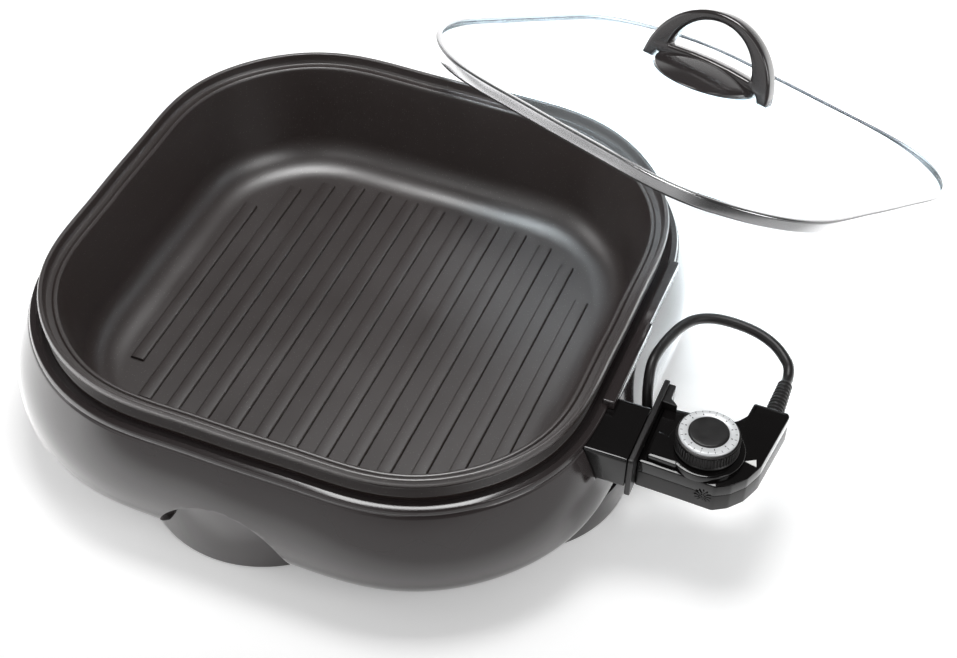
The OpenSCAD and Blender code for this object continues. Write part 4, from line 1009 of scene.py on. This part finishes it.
def makeDial():
    s = dialSizes
    low, high, radius = s["low"], s["high"], s["radius"]
    core = lathe("dialCore", [(0, low + 1), (3.2, low + 1), (3.2, low), (radius - 1.2, low),
                              (radius - 0.5, low + 0.5), (radius - 0.5, low + 1.2), (radius - 1.1, low + 1.8),
                              (radius - 1.3, high - 1.6), (radius - 0.9, high - 1.0),
                              (radius - 0.9, high - 0.3), (radius - 1.4, high), (0, high)], dialFrame)
    bars = growBars("dialFlutes", s["flutes"], radius - 1.25, (1.5, 0.9, high - low - 3.4),
                    dialFrame @ raisedBy((low + high + 0.2) / 2))
    put(joinPieces("dialKnob", [core, bars]), "dial", "dial_plastic", blackNylon, "dial_knob")
    top, bore, rim = s["top"], s["ringBore"], s["ringRadius"]
    ring = lathe("scaleRing", [(bore, high - 0.2), (rim, high - 0.2), (rim, top - 0.6),
                               (rim - 0.5, top - 0.1), (rim - 1.0, top), (bore + 0.4, top),
                               (bore, top - 0.3), (bore, high - 0.2)], dialFrame, 128)
    put(ring, "dial", "ring_silver", silverFoil, "dial_ring")
    face = dialFrame @ raisedBy(top)
    marks = [growBars("scaleStrokes", s["strokes"], 14.6, (1.5, 0.32, 0.12), face),
             growBars("scaleDots", s["dots"], 12.6, (1.1, 0.6, 0.12), face)]
    put(joinPieces("scaleMarks", marks), "dial", "ring_silver", blackNylon)
    cap, peak = s["cap"], s["capTop"]
    button = lathe("dialCap", [(0, high - 0.1), (cap, high - 0.1), (cap, peak - 0.5),
                               (cap - 0.5, peak - 0.1), (cap - 1.2, peak), (6, peak - 0.1),
                               (0, peak - 0.15)], dialFrame)
    put(button, "dial", "cap_plastic", capGrain, "dial_cap")


makeDial()
print("dial made")


# Strain relief: a tapered core with rounded ribs, along +Y
reliefSizes = {"start": (249, -7.7, 64.1), "long": 27.7, "first": 5.2, "last": 4.2, "ribs": 9, "width": 1.7,
               "bare": 6.4, "ribsFrom": 4.4}


def makeRelief():
    s = reliefSizes
    long = s["long"]
    along = movedTo(s["start"]) @ turnedBy(-90, "X")
    core = lathe("reliefCore", [(0, -5), (4, -5), (4, -0.4), (6.2, -0.4), (6.4, 0), (6.4, 1.6), (6.0, 2.0),
                                (4.5, 2.2), (3.7, long - 1.2), (3.4, long - 0.1), (0, long - 0.1)], along, 48)
    step = (long - s["bare"]) / (s["ribs"] - 1)
    ribs = growTree("reliefRibs", ribLine, {
        "Count": s["ribs"], "Step": step * mm, "First": s["first"] * mm, "Last": s["last"] * mm,
        "Width": s["width"] * mm, "Material": pvcJacket}, along @ raisedBy(s["ribsFrom"]))
    return joinPieces("strainRelief", [core, ribs])


put(makeRelief(), "probe", "cord_jacket", pvcJacket, "strain_relief")
print("strain relief made")


# CAD nodes that stay as they are get only a finish
nodeFinish = {
    coverSheet: ["base_cover"], footRubber: ["foot_pads"], sheathSteel: ["heating_element", "sensor_sleeve"],
    zincSteel: ["cover_screws", "guard_screws", "lid_handle_washer", "lid_handle_screw",
                "thermostat_bracket", "probe_screws", "dial_shaft"],
    nickelSteel: ["terminal_pins", "sensor_rod"], steatite: ["pin_bushes"],
    siliconeGrey: ["lid_handle_seal"], markInk: ["pointer_mark"], whiteNylon: ["coil_tie"],
    brassStrip: ["pin_receptacles", "bimetal_strip", "contact_leaf", "plug_blades"],
}
for material, names in nodeFinish.items():
    for name in names:
        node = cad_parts[name]
        node.data.materials.clear()
        node.data.materials.append(material)
print("nodes dressed")


# Stage, in metres: a floor, a world and four softboxes. Seen in reflections, floor and world have levels of
# their own, a painted reflection; seen from the camera, the floor glows, with a painted shade in front.
# A pair of distances or directions says where a change starts and ends, and a pair of levels how high.
nearCorner = (0.62, -0.785, 0)
floorSizes = {"half": 8.0, "forward": (0.345, -0.939, 0), "fade": (0.10, 0.30), "lift": 0.3,
              "far": (0.5, 1.6), "farLift": 0.6, "mirror": (0.30, 0.07), "mirrorLevel": (0.75, 2.7)}
worldSizes = {"level": 0.45, "band": (0.25, 0.5), "bandLevel": (0.95, 0.1), "behind": (0.5, 0.93),
              "behindLevel": (0.75, 0.12)}
softboxes = {  # place, aim, size and radiance
    "overheadBox": ((-0.1, 0.25, 1.5), (0, 0, 0), (0.7, 0.46), 11.0),
    "leftBox": ((-1.5, -0.5, 0.7), (0, 0, 0.05), (0.9, 0.9), 1.6),
    "frontStrip": ((-0.15, -1.5, 1.35), (0, 0, 0.05), (1.3, 0.28), 2.5),
    "rightBox": ((1.45, -0.5, 1.15), (0, 0, 0.05), (0.6, 0.8), 4.0),
}


def seenRays(tree):
    # rays from the camera, also those that went through glass
    ray = addNode(tree, "ShaderNodeLightPath").outputs
    seen = addNode(tree, "ShaderNodeMath", {0: ray["Is Camera Ray"], 1: ray["Is Transmission Ray"]},
                   operation="MAXIMUM")
    return ray["Is Glossy Ray"], seen


def makeFloor():
    s = floorSizes
    half = s["half"] / mm
    floor = makeMesh("studioFloor", [(-half, -half, 0), (half, -half, 0), (half, half, 0), (-half, half, 0)],
                     [(0, 1, 2, 3)], recalc=False)
    material, tree, spot = newMaterial("white sweep with painted shade and reflection")
    glossy, seen = seenRays(tree)
    paper = addNode(tree, "ShaderNodeBsdfDiffuse", {"Color": linearColour("#f2f2f2")})
    forward = addNode(tree, "ShaderNodeVectorMath", {0: spot, 1: s["forward"]}, operation="DOT_PRODUCT")
    corner = addNode(tree, "ShaderNodeVectorMath", {0: spot, 1: nearCorner}, operation="DOT_PRODUCT")
    away = addNode(tree, "ShaderNodeVectorMath", {0: spot}, operation="LENGTH")
    # seen from the camera the floor glows: a painted brightening, faded out over a stretch in front of the
    # object so that a painted shade lies there, and rising again to white far away
    near = addNode(tree, "ShaderNodeMapRange", {
        "Value": forward.outputs["Value"], "From Min": s["fade"][0], "From Max": s["fade"][1],
        "To Min": s["lift"], "To Max": 0.0}, interpolation_type="SMOOTHSTEP")
    far = addNode(tree, "ShaderNodeMapRange", {
        "Value": away.outputs["Value"], "From Min": s["far"][0], "From Max": s["far"][1],
        "To Min": 0.0, "To Max": s["farLift"]}, interpolation_type="SMOOTHSTEP")
    level = addNode(tree, "ShaderNodeMath", {0: near, 1: far}, operation="MAXIMUM")
    lift = addNode(tree, "ShaderNodeEmission", {"Color": (1, 1, 1, 1), "Strength": level})
    lifted = addNode(tree, "ShaderNodeAddShader", {0: paper, 1: lift})
    plain = addNode(tree, "ShaderNodeMixShader", {0: seen, 1: paper, 2: lifted})
    # seen in reflections the floor is a painted reflection: it gives back up to 2.7 times the light it gets,
    # away from the near corner, and less towards it
    gain = addNode(tree, "ShaderNodeMapRange", {
        "Value": corner.outputs["Value"], "From Min": s["mirror"][0], "From Max": s["mirror"][1],
        "To Min": s["mirrorLevel"][0], "To Max": s["mirrorLevel"][1]})
    mirrored = addNode(tree, "ShaderNodeBsdfDiffuse", {"Color": gain})
    whole = addNode(tree, "ShaderNodeMixShader", {0: glossy, 1: plain, 2: mirrored})
    addNode(tree, "ShaderNodeOutputMaterial", {"Surface": whole})
    floor.data.materials.append(material)


def makeWorld():
    s = worldSizes
    world = bpy.data.worlds.new("studio")
    bpy.context.scene.world = world
    world.use_nodes = True
    tree = world.node_tree
    tree.nodes.clear()
    glossy, seen = seenRays(tree)
    aim = addNode(tree, "ShaderNodeTexCoord").outputs["Generated"]
    height = addNode(tree, "ShaderNodeSeparateXYZ", {"Vector": aim}).outputs[2]
    corner = addNode(tree, "ShaderNodeVectorMath", {0: aim, 1: nearCorner}, operation="DOT_PRODUCT")
    # seen in reflections the world is a painted reflection: a bright band at the horizon, a dim sky above,
    # and darker still towards the near corner
    band = addNode(tree, "ShaderNodeMapRange", {
        "Value": height, "From Min": s["band"][0], "From Max": s["band"][1],
        "To Min": s["bandLevel"][0], "To Max": s["bandLevel"][1]}, interpolation_type="SMOOTHSTEP")
    behind = addNode(tree, "ShaderNodeMapRange", {
        "Value": corner.outputs["Value"], "From Min": s["behind"][0], "From Max": s["behind"][1],
        "To Min": s["behindLevel"][0], "To Max": s["behindLevel"][1]}, interpolation_type="SMOOTHSTEP")
    level = addNode(tree, "ShaderNodeMath", {0: band, 1: behind}, operation="MULTIPLY")
    soft, dim, white = (addNode(tree, "ShaderNodeBackground", {"Color": (1, 1, 1, 1), "Strength": strength})
                        for strength in (s["level"], level, 1.0))
    room = addNode(tree, "ShaderNodeMixShader", {0: glossy, 1: soft, 2: dim})
    whole = addNode(tree, "ShaderNodeMixShader", {0: seen, 1: room, 2: white})
    addNode(tree, "ShaderNodeOutputWorld", {"Surface": whole})


def softbox(name, place, aim, size, radiance):
    lamp = bpy.data.lights.new(name, "AREA")
    lamp.shape = "RECTANGLE"
    lamp.size, lamp.size_y = size
    lamp.energy = radiance * size[0] * size[1] * math.pi
    light = bpy.data.objects.new(name, lamp)
    light.location = place
    light.rotation_euler = (Vector(aim) - Vector(place)).to_track_quat("-Z", "Y").to_euler()
    bpy.context.scene.collection.objects.link(light)


makeFloor()
makeWorld()
for name, values in softboxes.items():
    softbox(name, *values)
print("stage set")
